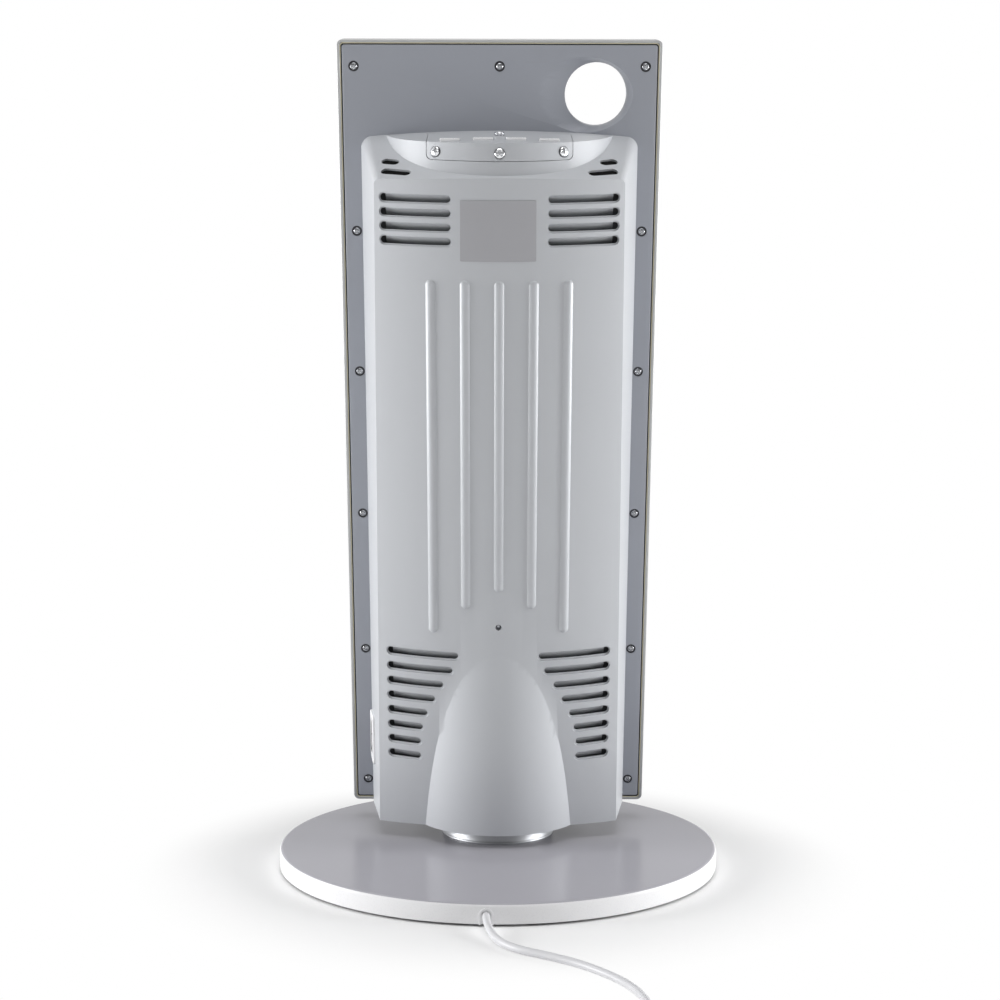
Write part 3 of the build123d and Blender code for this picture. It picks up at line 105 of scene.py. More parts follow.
def build_mesh(name, parts, smooth_angle, materials, body):
    """One mesh object on a body from parts of (points, faces, material index), tidied and shaded smooth."""
    points = []
    faces = []
    index = []
    count = 0
    for part_points, part_faces, part_material in parts:
        flat = np.asarray(part_points, float).reshape(-1, 3)
        points.append(flat)
        faces.append(np.asarray(part_faces) + count)
        index.append(np.broadcast_to(part_material, (len(part_faces),)))
        count += len(flat)
    co = np.concatenate(points)
    quads = np.concatenate(faces)
    mesh = bpy.data.meshes.new(name)
    mesh.from_pydata(co.tolist(), [], quads.tolist())
    for material in materials:
        mesh.materials.append(material)
    mesh.polygons.foreach_set("material_index", np.concatenate(index).astype(np.int32))
    piece = bpy.data.objects.new(name, mesh)
    bpy.context.scene.collection.objects.link(piece)
    tidy_mesh(piece, smooth_angle)
    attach(piece, body)
    return piece


MERGE_DISTANCE = 0.002 * MM


def tidy_mesh(piece, smooth_angle):
    """Merges doubles, drops faces without area, points faces outward and shades smooth below the angle."""
    bpy.ops.object.select_all(action="DESELECT")
    bpy.context.view_layer.objects.active = piece
    piece.select_set(True)
    bpy.ops.object.mode_set(mode="EDIT")
    bpy.ops.mesh.select_all(action="SELECT")
    bpy.ops.mesh.remove_doubles(threshold=MERGE_DISTANCE)
    bpy.ops.mesh.dissolve_degenerate(threshold=MERGE_DISTANCE)
    bpy.ops.mesh.normals_make_consistent(inside=False)
    bpy.ops.object.mode_set(mode="OBJECT")
    bpy.ops.object.shade_smooth_by_angle(angle=math.radians(smooth_angle))
    piece.select_set(False)


CAD_WELD = 0.004
FLAT_ANGLE = math.radians(0.2)
EDGE_ANGLE = math.radians(32)


def softened_copy(node, width):
    """A CAD node's own shape with rounded edges: triangles merged, flat faces rejoined, then bevelled."""
    source = nodes[node]
    mesh = source.data.copy()
    mesh.name = node + "_soft"
    piece = bpy.data.objects.new(node + "_soft", mesh)
    bpy.context.scene.collection.objects.link(piece)
    bpy.ops.object.select_all(action="DESELECT")
    bpy.context.view_layer.objects.active = piece
    piece.select_set(True)
    if mesh.has_custom_normals:
        bpy.ops.mesh.customdata_custom_splitnormals_clear()
    bpy.ops.object.mode_set(mode="EDIT")
    bpy.ops.mesh.select_all(action="SELECT")
    bpy.ops.mesh.remove_doubles(threshold=CAD_WELD * MM)
    bpy.ops.mesh.dissolve_limited(angle_limit=FLAT_ANGLE)
    bpy.ops.object.mode_set(mode="OBJECT")
    bpy.ops.object.shade_smooth_by_angle(angle=EDGE_ANGLE)
    piece.select_set(False)
    bevel = piece.modifiers.new("softened edges", "BEVEL")
    bevel.width = width * MM
    bevel.segments = 2
    bevel.limit_method = "ANGLE"
    bevel.angle_limit = EDGE_ANGLE
    bevel.use_clamp_overlap = True
    bevel.harden_normals = False
    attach(piece, source["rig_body"])
    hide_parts(node)
    return piece


# Materials: each has a fine grain and a slow change of tone, both worked out from object coordinates


TONE_SCALE = 9.0
GRAIN_DEPTH = 0.0004


def finish(
    name,
    colour,
    roughness,
    metallic=0.0,
    tone=0.03,
    grain=900.0,
    bump=0.04,
    roughness_spread=0.06,
    coat=0.0,
    stretch=(1, 1, 1),
    transmission=0.0,
    specular=0.5,
):
    """A finish: slow noise moves the tone, fine noise moves the gloss and gives the surface its grain."""
    material = bpy.data.materials.new(name)
    material.use_nodes = True
    tree = material.node_tree
    shader = tree.nodes["Principled BSDF"]
    place = tree.nodes.new("ShaderNodeTexCoord")
    mapping = tree.nodes.new("ShaderNodeMapping")
    mapping.inputs["Scale"].default_value = stretch
    tree.links.new(place.outputs["Object"], mapping.inputs["Vector"])
    slow = tree.nodes.new("ShaderNodeTexNoise")
    slow.inputs["Scale"].default_value = TONE_SCALE
    slow.inputs["Detail"].default_value = 3
    fine = tree.nodes.new("ShaderNodeTexNoise")
    fine.inputs["Scale"].default_value = grain
    fine.inputs["Detail"].default_value = 2
    tree.links.new(mapping.outputs["Vector"], slow.inputs["Vector"])
    tree.links.new(mapping.outputs["Vector"], fine.inputs["Vector"])
    tones = tree.nodes.new("ShaderNodeMix")
    tones.data_type = "RGBA"
    tones.inputs[6].default_value = (*[c * (1 - tone) for c in colour], 1)
    tones.inputs[7].default_value = (*[min(1, c * (1 + tone)) for c in colour], 1)
    tree.links.new(slow.outputs["Fac"], tones.inputs[0])
    tree.links.new(tones.outputs[2], shader.inputs["Base Color"])
    gloss = tree.nodes.new("ShaderNodeMapRange")
    gloss.inputs["From Min"].default_value = 0.3
    gloss.inputs["From Max"].default_value = 0.7
    gloss.inputs["To Min"].default_value = max(0.02, roughness - roughness_spread)
    gloss.inputs["To Max"].default_value = min(1, roughness + roughness_spread)
    tree.links.new(fine.outputs["Fac"], gloss.inputs["Value"])
    tree.links.new(gloss.outputs["Result"], shader.inputs["Roughness"])
    relief = tree.nodes.new("ShaderNodeBump")
    relief.inputs["Strength"].default_value = bump
    relief.inputs["Distance"].default_value = GRAIN_DEPTH
    tree.links.new(fine.outputs["Fac"], relief.inputs["Height"])
    tree.links.new(relief.outputs["Normal"], shader.inputs["Normal"])
    shader.inputs["Metallic"].default_value = metallic
    shader.inputs["Coat Weight"].default_value = coat
    shader.inputs["Specular IOR Level"].default_value = specular
    shader.inputs["Transmission Weight"].default_value = transmission
    return material


FINISHES = {
    "light_plastic": finish("light_plastic", (0.80, 0.80, 0.81), 0.3, tone=0.02, bump=0.01, specular=0.3),
    # Painted shade: a darkened, less glossy copy of the disc's pale finish for its top
    "disc_top_painted_shade": finish(
        "disc_top_painted_shade", (0.40, 0.395, 0.43), 0.2, tone=0.03, bump=0.004, specular=0.06, roughness_spread=0.02
    ),
    "satin_chrome": finish("satin_chrome", (0.46, 0.47, 0.49), 0.48, metallic=1.0, tone=0.02, bump=0.02),
    "silver_plastic": finish(
        "silver_plastic", (0.52, 0.535, 0.56), 0.42, metallic=0.1, tone=0.02, grain=1600, bump=0.05
    ),
    "grey_plastic": finish(
        "grey_plastic", (0.325, 0.34, 0.38), 0.45, metallic=0.1, tone=0.03, grain=1500, bump=0.06
    ),
    "silver_paint": finish("silver_paint", (0.47, 0.475, 0.475), 0.36, metallic=0.35, tone=0.03, bump=0.02),
    "dark_paint": finish("dark_paint", (0.05, 0.05, 0.06), 0.5, tone=0.1, bump=0.05),
    "black_gloss": finish("black_gloss", (0.02, 0.02, 0.025), 0.08, tone=0.1, bump=0.003, coat=0.5),
    "inner_black_plastic": finish("inner_black_plastic", (0.03, 0.03, 0.03), 0.55, tone=0.12, bump=0.06),
    "white_plastic": finish("white_plastic", (0.90, 0.90, 0.91), 0.3, tone=0.015, bump=0.02),
    "cream_rubber": finish("cream_rubber", (0.60, 0.56, 0.40), 0.7, tone=0.05, bump=0.1),
    "black_rubber": finish("black_rubber", (0.025, 0.025, 0.025), 0.8, tone=0.15, bump=0.15),
    "bright_chrome": finish(
        "bright_chrome", (0.80, 0.81, 0.83), 0.07, metallic=1.0, tone=0.01, bump=0.004, roughness_spread=0.03
    ),
    "zinc_steel": finish("zinc_steel", (0.42, 0.43, 0.45), 0.2, metallic=1.0, tone=0.04, bump=0.02),
    "ballast_steel": finish("ballast_steel", (0.10, 0.10, 0.11), 0.7, metallic=0.6, tone=0.15, bump=0.3),
    "bright_aluminium": finish(
        "bright_aluminium", (0.88, 0.88, 0.89), 0.12, metallic=1.0, tone=0.02, stretch=(20, 1, 1), bump=0.02
    ),
    "white_ceramic": finish("white_ceramic", (0.86, 0.85, 0.82), 0.65, tone=0.03, bump=0.1),
    "quartz_glass": finish(
        "quartz_glass",
        (0.95, 0.95, 0.95),
        0.04,
        tone=0.0,
        bump=0.002,
        transmission=1.0,
        roughness_spread=0.02,
    ),
    "carbon": finish("carbon", (0.04, 0.04, 0.04), 0.5, tone=0.3, grain=2500, bump=0.4),
    "cord_sheath": finish("cord_sheath", (0.66, 0.66, 0.68), 0.38, tone=0.02, bump=0.04),
    "pin_brass": finish("pin_brass", (0.80, 0.68, 0.40), 0.25, metallic=1.0, tone=0.04, bump=0.02),
    "label_film": finish(
        "label_film", (0.38, 0.38, 0.40), 0.36, tone=0.02, bump=0.0, roughness_spread=0.01, metallic=0.3
    ),
    "dark_lens": finish("dark_lens", (0.06, 0.04, 0.05), 0.08, tone=0.05, bump=0.003, coat=0.5),
    "vent_painted_shade": finish("vent_painted_shade", (0.13, 0.135, 0.14), 0.6, tone=0.08, bump=0.06),
    "roof_vent_painted_shade": finish("roof_vent_painted_shade", (0.012, 0.012, 0.012), 0.8, tone=0.1, bump=0.02, specular=0.0),
    "screw_shadow": finish("screw_shadow", (0.05, 0.05, 0.055), 0.45, metallic=0.6, tone=0.1, bump=0.05),
    "board_green": finish("board_green", (0.03, 0.16, 0.07), 0.4, tone=0.15, grain=600, bump=0.1),
}
node_slots = {row["node"]: row["material_slot"] for row in frame["record"]["subparts"]}
for node_name, node_slot in node_slots.items():
    node_mesh = nodes[node_name].data
    node_mesh.materials.clear()
    node_mesh.materials.append(FINISHES[node_slot])


def finished(piece, slot_name):
    """Gives a piece its one finish, the finish of the named slot."""
    piece.data.materials.clear()
    piece.data.materials.append(FINISHES[slot_name])
    return piece


# Moulded and formed parts that keep their CAD shape, with softened edges (width in millimetres)
EDGE_WIDTHS = {
    "rear_cover": 0.55,
    "control_cover": 0.6,
    "back_plate": 0.35,
    "front_frame": 0.4,
    "handle_trim": 0.3,
    "button_1": 0.45,
    "button_2": 0.45,
    "button_3": 0.45,
    "button_4": 0.45,
    "indicator_bezel": 0.25,
    "power_switch_bezel": 0.4,
    "power_rocker": 0.4,
    "cord_bushing": 0.4,
    "plug_body": 1.2,
    "rating_label": 0.05,
}
for soft_node, soft_width in EDGE_WIDTHS.items():
    finished(softened_copy(soft_node, soft_width), node_slots[soft_node])


# Painted shade: sheets behind the vents stand in for the shade inside them


CROWN_RADIUS = 275.0
CROWN_AXIS_T = -195.0
ROOF_CENTRE_S = 621.5
ROOF_CENTRE_FALL = 0.384
ROOF_CORNER_S = 616.0
ROOF_CORNER_FALL = 0.46
COVER_HALF_WIDTH = 116.6
COVER_TAPER = 0.239


def crown_depth(x):
    """Depth t of the cover's crowned back: a circle of the crown's radius about its axis."""
    return np.sqrt(CROWN_RADIUS**2 - x**2) + CROWN_AXIS_T


def roof_height(x, t):
    """Height s of the cover's roof: it falls evenly with t, and with the square of x towards the corners."""
    centre = ROOF_CENTRE_S - ROOF_CENTRE_FALL * t
    corner = ROOF_CORNER_S - ROOF_CORNER_FALL * t
    half_width = COVER_HALF_WIDTH - COVER_TAPER * t
    return centre - (centre - corner) * (x / half_width) ** 2


def sheet_faces(rows, columns):
    """Faces of a closed thin sheet: two grids of rows x columns, the second turned over, and their edge."""
    front = grid_faces(rows, columns)
    back = front[:, ::-1] + rows * columns
    ring = np.concatenate(
        [
            np.arange(columns - 1),
            np.arange(rows - 1) * columns + columns - 1,
            (rows - 1) * columns + np.arange(columns - 1, 0, -1),
            np.arange(rows - 1, 0, -1) * columns,
        ]
    )
    following = np.roll(ring, -1)
    edge = np.stack([ring, ring + rows * columns, following + rows * columns, following], axis=-1)
    return np.concatenate([front, back, edge])


UPPER_VENTS = (33, 97.5, 530, 580)
LOWER_VENTS = (30, 97.5, 70, 188)
ROOF_VENTS_X = (68, 98.5)
ROOF_VENTS_T = (30, 59)
SHADE_SHEET_BEHIND_CROWN = 10.8
SHADE_SHEET_UNDER_ROOF = 2.2
SHADE_SHEET_THICKNESS = 0.6


def vent_shade_sheets():
    """Thin sheets that follow the cover, set under its crown behind the rear vents and under its roof:
    painted shade for the shade inside the vents.

    The rear ones span x and s from UPPER_VENTS and LOWER_VENTS, and the roof ones span x and t.
    """
    parts = []
    rows = 8
    columns = 14
    thickness = SHADE_SHEET_THICKNESS
    faces = sheet_faces(rows, columns)
    for side in (-1, 1):
        for inner_x, outer_x, low_s, high_s in (UPPER_VENTS, LOWER_VENTS):
            x = side * np.linspace(inner_x, outer_x, columns)[None, :]
            s = np.linspace(low_s, high_s, rows)[:, None]
            depth = crown_depth(x) - SHADE_SHEET_BEHIND_CROWN
            sheets = [from_panel(x, s, depth), from_panel(x, s, depth - thickness)]
            parts.append((np.stack(sheets), faces, 0))
        x = side * np.linspace(*ROOF_VENTS_X, columns)[None, :]
        t = np.linspace(*ROOF_VENTS_T, rows)[:, None]
        height = roof_height(x, t) - SHADE_SHEET_UNDER_ROOF
        sheets = [from_panel(x, height, t), from_panel(x, height - thickness, t)]
        parts.append((np.stack(sheets), faces, 1))
    # Both finishes are painted shade: dim grey behind the rear vents, near black under the roof vents
    finishes = (FINISHES["vent_painted_shade"], FINISHES["roof_vent_painted_shade"])
    piece = build_mesh("vent_shade_sheets", parts, 35, finishes, "head")


vent_shade_sheets()


# Sealing strip between the frame and the back plate


PANEL_MIDDLE_S = 348.95
STRIP_HALF_WIDTH = 133.1
STRIP_HALF_HEIGHT = 344.25
STRIP_CORNER = 3.2
POINTS_PER_CORNER = 10


def around_panel(half_width, half_height, corner):
    """Points and outward directions (x, s) of a rounded rectangle: four quarter circles and its sides."""
    centres = np.array([(1, 1), (-1, 1), (-1, -1), (1, -1)]) * (half_width - corner, half_height - corner)
    start = np.array([0, 90, 180, 270])
    angle = np.radians(start[:, None] + np.linspace(0, 90, POINTS_PER_CORNER)[None, :])
    outward = np.stack([np.cos(angle), np.sin(angle)], axis=-1)
    points = centres[:, None, :] + corner * outward
    return points.reshape(-1, 2), outward.reshape(-1, 2)


def sealing_strip():
    """A profile of (distance inwards, depth t) carried round the panel: a pale lip, then a gap whose faces
    are painted as shade.
    """
    profile = np.array(
        [
            (0.0, -0.45),
            (0.12, -0.32),
            (0.68, -0.32),
            (0.8, -0.45),
            (0.8, -2.5),
            (1.78, -2.5),
            (1.78, -2.95),
            (0.0, -2.95),
            (0.0, -0.45),
        ]
    )
    points, outward = around_panel(STRIP_HALF_WIDTH, STRIP_HALF_HEIGHT, STRIP_CORNER)
    place = points[None, :, :] - profile[:, None, :1] * outward[None, :, :]
    depth = np.broadcast_to(profile[:, 1:], place.shape[:2])
    world_points = from_panel(place[..., 0], PANEL_MIDDLE_S + place[..., 1], depth)
    faces = grid_faces(len(profile), len(points), wrap=True)
    row = np.arange(len(faces)) // len(points)
    # Rows 3 to 6 get screw_shadow: painted shade for the gap between the strip and the back plate
    painted_shade_faces = np.isin(row, (3, 4, 5, 6)).astype(np.int32)
    finishes = (FINISHES["cream_rubber"], FINISHES["screw_shadow"])
    piece = build_mesh("sealing_strip", [(world_points, faces, painted_shade_faces)], 40, finishes, "head")
    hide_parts("panel_gasket")


sealing_strip()


# Turned parts: the foot disc and the neck ring


def turned(name, node, profile, centre, around, slot_name, second):
    """A closed profile of (distance from the axis, height) in millimetres, carried round an upright axis.

    second = (finish, rows): the faces between those profile points get that finish instead.
    """
    profile = np.array(profile, float)
    angle = np.arange(around) * 2 * np.pi / around
    x = centre[0] + profile[:, :1] * np.cos(angle)
    y = centre[1] + profile[:, :1] * np.sin(angle)
    z = np.broadcast_to(profile[:, 1:], x.shape)
    faces = grid_faces(len(profile), around, wrap=True)
    row = np.arange(len(faces)) // around
    chosen = np.zeros(len(faces), np.int32)
    chosen[np.isin(row, second[1])] = 1
    materials = (FINISHES[slot_name], FINISHES[second[0]])
    points = np.stack([x, y, z], axis=-1) * MM
    piece = build_mesh(name, [(points, faces, chosen)], 40, materials, "base")
    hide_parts(node)


def quarter_round(centre_r, centre_z, radius, start, end, steps):
    """Profile points on an arc about (centre_r, centre_z) from the start to the end angle in degrees."""
    angle = np.radians(np.linspace(start, end, steps))
    return [(centre_r + radius * math.cos(a), centre_z + radius * math.sin(a)) for a in angle]


DISC_RADIUS = 195.0
DISC_TOP = 18.5
DISC_EDGE = 3.0
DISC_WALL = 2.4
DISC_UNDER = 2.0
DISC_UNDER_EDGE = 0.6
EDGE_POINTS_ON_RIM = 5
disc_profile = [(0, DISC_TOP)]
disc_profile += [(r, DISC_TOP) for r in np.linspace(20, DISC_RADIUS - DISC_EDGE - 0.5, 12)]
disc_profile += quarter_round(DISC_RADIUS - DISC_EDGE, DISC_TOP - DISC_EDGE, DISC_EDGE, 90, 0, 9)
rim_start = len(disc_profile) - EDGE_POINTS_ON_RIM
disc_profile += quarter_round(
    DISC_RADIUS - DISC_UNDER_EDGE, DISC_UNDER + DISC_UNDER_EDGE, DISC_UNDER_EDGE, 0, -90, 4
)
disc_profile += [
    (DISC_RADIUS - DISC_WALL, DISC_UNDER),
    (DISC_RADIUS - DISC_WALL, DISC_TOP - DISC_WALL),
    (0, DISC_TOP - DISC_WALL),
]
# The top of the disc shares one finish with the rim and is darkened here as painted shade
turned("foot_disc", "base_cover", disc_profile, (0, 0), 256, "light_plastic", ("disc_top_painted_shade", range(rim_start)))

NECK_Y = 35.0
ring_profile = [
    (50.3, 18.5),
    (50.7, 18.6),
    (50.8, 18.9),
    (50.8, 19.6),
    (50.6, 20.1),
    (50.15, 20.6),
    (50.0, 20.9),
    (49.6, 23.5),
    (49.15, 27.0),
    (48.8, 30.0),
    (48.6, 31.8),
    (48.35, 32.35),
    (47.9, 32.5),
    (46.6, 32.5),
    (46.5, 32.3),
    (48.0, 20.6),
    (48.3, 18.5),
    (50.3, 18.5),
]
turned(
    "neck_collar",
    "neck_ring",
    ring_profile,
    (0, NECK_Y),
    160,
    "bright_chrome",
    ("satin_chrome", range(len(ring_profile))),
)


# Screws


SCREW_STEPS = 72
DOME_POINTS = 26
DOME_REACH = 0.93
DOME_FALL = 0.45
DOME_POWER = 2.4
RECESS_BAR = 0.17
RECESS_DEPTH = 0.42
RECESS_START = 1.12
RECESS_SLOPE = 0.3
FLANGE_EDGE = 0.05


def screw_head(radius, height, flange_radius, flange_height, arm, turn):
    """Points, faces and the faces painted as shade (the side, flange and underside) of a pan head on a thin
    flange, in millimetres, its seat at z = 0.

    A profile (distance from the axis, height) is carried round the axis: the dome falls by DOME_FALL of its
    height with the power DOME_POWER of r / radius, then come the side, the flange and the underside.
    The cross recess lowers the dome by RECESS_DEPTH x height x ramp. The ramp grows from 0 to 1 inside two
    crossed bars of half length arm x radius and half width RECESS_BAR x radius, turned by the given angle.
    """
    dome_r = np.linspace(0, radius * DOME_REACH, DOME_POINTS)
    dome_z = height * (1 - DOME_FALL * (dome_r / radius) ** DOME_POWER)
    side = np.array(
        [
            [radius, dome_z[-1] - 0.10 * height],
            [radius, flange_height + 0.03],
            [radius + FLANGE_EDGE, flange_height],
            [flange_radius - FLANGE_EDGE, flange_height],
            [flange_radius, flange_height - FLANGE_EDGE],
            [flange_radius, 0],
            [0, 0],
        ]
    )
    r = np.concatenate([dome_r, side[:, 0]])[:, None]
    z = np.concatenate([dome_z, side[:, 1]])[:, None]
    angle = np.arange(SCREW_STEPS) * 2 * np.pi / SCREW_STEPS
    x = r * np.cos(angle)
    y = r * np.sin(angle)
    along = x * math.cos(turn) + y * math.sin(turn)
    across = y * math.cos(turn) - x * math.sin(turn)
    long_side = arm * radius
    short_side = RECESS_BAR * radius
    first_bar = np.maximum(np.abs(along) / long_side, np.abs(across) / short_side)
    second_bar = np.maximum(np.abs(across) / long_side, np.abs(along) / short_side)
    ramp = np.clip((RECESS_START - np.minimum(first_bar, second_bar)) / RECESS_SLOPE, 0, 1)
    on_dome = (np.arange(len(r)) < len(dome_r))[:, None]
    z = z - RECESS_DEPTH * height * ramp * on_dome
    points = np.stack([x, y, np.broadcast_to(z, x.shape)], axis=-1)
    faces = grid_faces(len(r), SCREW_STEPS, wrap=True)
    # The side, flange and underside get screw_shadow in screws(): painted shade for the ring of shadow round
    # each head
    painted_shade_faces = (np.arange(len(faces)) // SCREW_STEPS >= len(dome_r) + 1).astype(np.int32)
    return points, faces, painted_shade_faces


def screws(name, node, places, sizes, slot_name):
    """Every screw of one CAD node as one piece: places are (origin, axis direction, turn of the cross)."""
    parts = []
    for origin, axis, turn in places:
        points, faces, painted_shade_faces = screw_head(**sizes, turn=turn)
        world_points = placed(points, origin, (1, 0, 0), axis) * MM
        parts.append((world_points, faces, painted_shade_faces))
    # screw_shadow is painted shade on each head's side and flange
    piece = build_mesh(name, parts, 40, (FINISHES[slot_name], FINISHES["screw_shadow"]), "head")
    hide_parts(node)


PLATE_SCREW = {"radius": 2.75, "height": 2.1, "flange_radius": 4.35, "flange_height": 0.5, "arm": 0.8}
PLATE_SCREW_X = 121.7
PLATE_SCREW_S = (23.5, 154.5, 284.5, 414.5, 537.0, 674.0)
PLATE_SCREW_T = -1.3
plate_screw_points = [(side * PLATE_SCREW_X, s) for side in (-1, 1) for s in PLATE_SCREW_S]
plate_screw_points.append((0, PLATE_SCREW_S[-1]))
plate_screw_places = []
for screw_number, (screw_x, screw_s) in enumerate(plate_screw_points):
    screw_origin = from_panel(screw_x, screw_s, PLATE_SCREW_T) / MM
    plate_screw_places.append((screw_origin, REARWARDS, 0.5 + 0.83 * screw_number))
screws("plate_screws", "back_plate_screws", plate_screw_places, PLATE_SCREW, "zinc_steel")

CONTROL_SCREW = {"radius": 3.9, "height": 2.5, "flange_radius": 4.25, "flange_height": 0.4, "arm": 0.7}
CONTROL_SCREW_S = 609.5
CONTROL_SCREW_ANGLES = (-30.8, 0, 30.8)
CONTROL_SCREW_SUNK = 0.6
POD_AXIS_T = -29.0
POD_FOOT_S = 588
POD_FOOT_RADIUS = 106.2
POD_TAPER = 0.207
control_screw_radius = POD_FOOT_RADIUS - POD_TAPER * (CONTROL_SCREW_S - POD_FOOT_S) - CONTROL_SCREW_SUNK
control_screw_places = []
for screw_number, pod_angle in enumerate(np.radians(CONTROL_SCREW_ANGLES)):
    screw_origin = from_panel(
        control_screw_radius * math.sin(pod_angle),
        CONTROL_SCREW_S,
        POD_AXIS_T + control_screw_radius * math.cos(pod_angle),
    ) / MM
    screw_axis = np.array([math.sin(pod_angle), 0, 0]) + REARWARDS * math.cos(pod_angle)
    screw_axis = screw_axis + UP_PANEL * POD_TAPER
    control_screw_places.append((screw_origin, screw_axis, 0.3 + 0.5 * screw_number))
screws("control_screws", "control_cover_screws", control_screw_places, CONTROL_SCREW, "bright_chrome")

COVER_SCREW = {"radius": 2.2, "height": 1.75, "flange_radius": 2.28, "flange_height": 0.3, "arm": 0.7}
cover_screw_place = (from_panel(0, 205.6, 76.4) / MM, REARWARDS, 0.6)
screws("cover_screw", "rear_cover_screw", [cover_screw_place], COVER_SCREW, "zinc_steel")


# Mains lead


def new_curve(name, points, diameter):
    """A round cord: one NURBS spline of order 3 with the given points as its control points."""
    data = bpy.data.curves.new(name, "CURVE")
    data.dimensions = "3D"
    data.bevel_depth = diameter / 2
    data.bevel_resolution = 6
    data.use_fill_caps = True
    spline = data.splines.new("NURBS")
    spline.points.add(len(points) - 1)
    for target, (x, y, z) in zip(spline.points, points):
        target.co = (x, y, z, 1)
    spline.order_u = 3
    spline.use_endpoint_u = True
    spline.resolution_u = 8
    piece = bpy.data.objects.new(name, data)
    bpy.context.scene.collection.objects.link(piece)
    return piece


# The free run's points are listed one by one, and the coil's turns come from a formula
cord_diameter = 6.2 * MM
cord_z = cord_diameter / 2
layer_rise = 6.8 * MM
cord_exit = (-0.0095, -0.1959, 0.0093)
route = [
    cord_exit,
    (-0.0095, -0.210, 0.0093),
    (-0.0035, -0.232, 0.0036),
    (0.010, -0.256, cord_z),
    (0.040, -0.2755, cord_z),
    (0.066, -0.297, cord_z),
    (0.097, -0.340, cord_z),
    (0.107, -0.395, cord_z),
    (0.107, -0.436, cord_z),
]
points_per_turn = 16
pull_out = 1 / math.cos(math.pi / points_per_turn)
lower_centre_x = 0.1574
upper_centre_x = 0.1540
coil_y = -0.451
coil_radius = 0.0504
half_turn_step = 3.35 * MM
lower_half_turns = 6
upper_half_turns = 5


def coil_points():
    """Control points of the coil: r = r0 - k a inwards, a half turn that climbs, then r = r1 + k a outwards.

    a counts half turns and k is the step of each, so neighbouring turns lie side by side.
    """
    half = points_per_turn // 2
    lower_count = lower_half_turns * half
    upper_count = upper_half_turns * half - 1
    inward = np.arange(1, lower_count + 1) / half
    climb = np.arange(1, half + 1) / half
    outward = np.arange(1, upper_count + 1) / half
    lower_radius = coil_radius - half_turn_step * inward
    climb_radius = np.full(half, lower_radius[-1])
    upper_radius = climb_radius[-1] + half_turn_step * outward
    turns_done = [inward, lower_half_turns + climb, lower_half_turns + 1 + outward]
    turn = np.pi * (1 + np.concatenate(turns_done))
    radius = np.concatenate([lower_radius, climb_radius, upper_radius]) * pull_out
    ease = (1 - np.cos(np.pi * climb)) / 2
    centre = np.concatenate(
        [
            np.full(lower_count, lower_centre_x),
            lower_centre_x + (upper_centre_x - lower_centre_x) * climb,
            np.full(upper_count, upper_centre_x),
        ]
    )
    z = np.concatenate(
        [
            np.full(lower_count, cord_z),
            cord_z + layer_rise * ease,
            np.full(upper_count, cord_z + layer_rise),
        ]
    )
    x = centre + radius * np.cos(turn)
    y = coil_y + radius * np.sin(turn)
    return list(zip(x.tolist(), y.tolist(), z.tolist()))


tail = [
    (0.107, -0.452, cord_z + layer_rise),
    (0.107, -0.466, cord_z + layer_rise),
    (0.107, -0.485, cord_z + layer_rise),
]
cord = new_curve("mains_cord", route + coil_points() + tail, cord_diameter)
cord.data.materials.append(FINISHES["cord_sheath"])
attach(cord, "base")
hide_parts("power_cord", "power_cord_coil")

# Floor, backdrop, lights and camera
FLOOR_REACH = 6
floor_corners = [
    (x_side * FLOOR_REACH, y_side * FLOOR_REACH, 0)
    for x_side, y_side in ((-1, -1), (1, -1), (1, 1), (-1, 1))
]
floor_mesh = bpy.data.meshes.new("floor")
floor_mesh.from_pydata(floor_corners, [], [(0, 1, 2, 3)])
floor = bpy.data.objects.new("floor", floor_mesh)
bpy.context.scene.collection.objects.link(floor)


def only_backdrop_in_gloss(tree, rays, total):
    """Gloss shows the white backdrop only ahead of the camera, towards +Y; behind it the room stays dim."""
    heading = tree.nodes.new("ShaderNodeTexCoord")
    split = tree.nodes.new("ShaderNodeSeparateXYZ")
    tree.links.new(heading.outputs["Generated"], split.inputs[0])
    ahead = tree.nodes.new("ShaderNodeMapRange")
    ahead.interpolation_type = "SMOOTHSTEP"
    ahead.inputs["From Min"].default_value = -0.15
    ahead.inputs["From Max"].default_value = 0.25
    tree.links.new(split.outputs["Y"], ahead.inputs["Value"])
    plain = tree.nodes.new("ShaderNodeMath")
    plain.operation = "MAXIMUM"
    tree.links.new(ahead.outputs["Result"], plain.inputs[0])
    tree.links.new(rays.outputs["Is Camera Ray"], plain.inputs[1])
    product = tree.nodes.new("ShaderNodeMath")
    product.operation = "MULTIPLY"
    tree.links.new(total, product.inputs[0])
    tree.links.new(plain.outputs[0], product.inputs[1])
    return product.outputs[0]


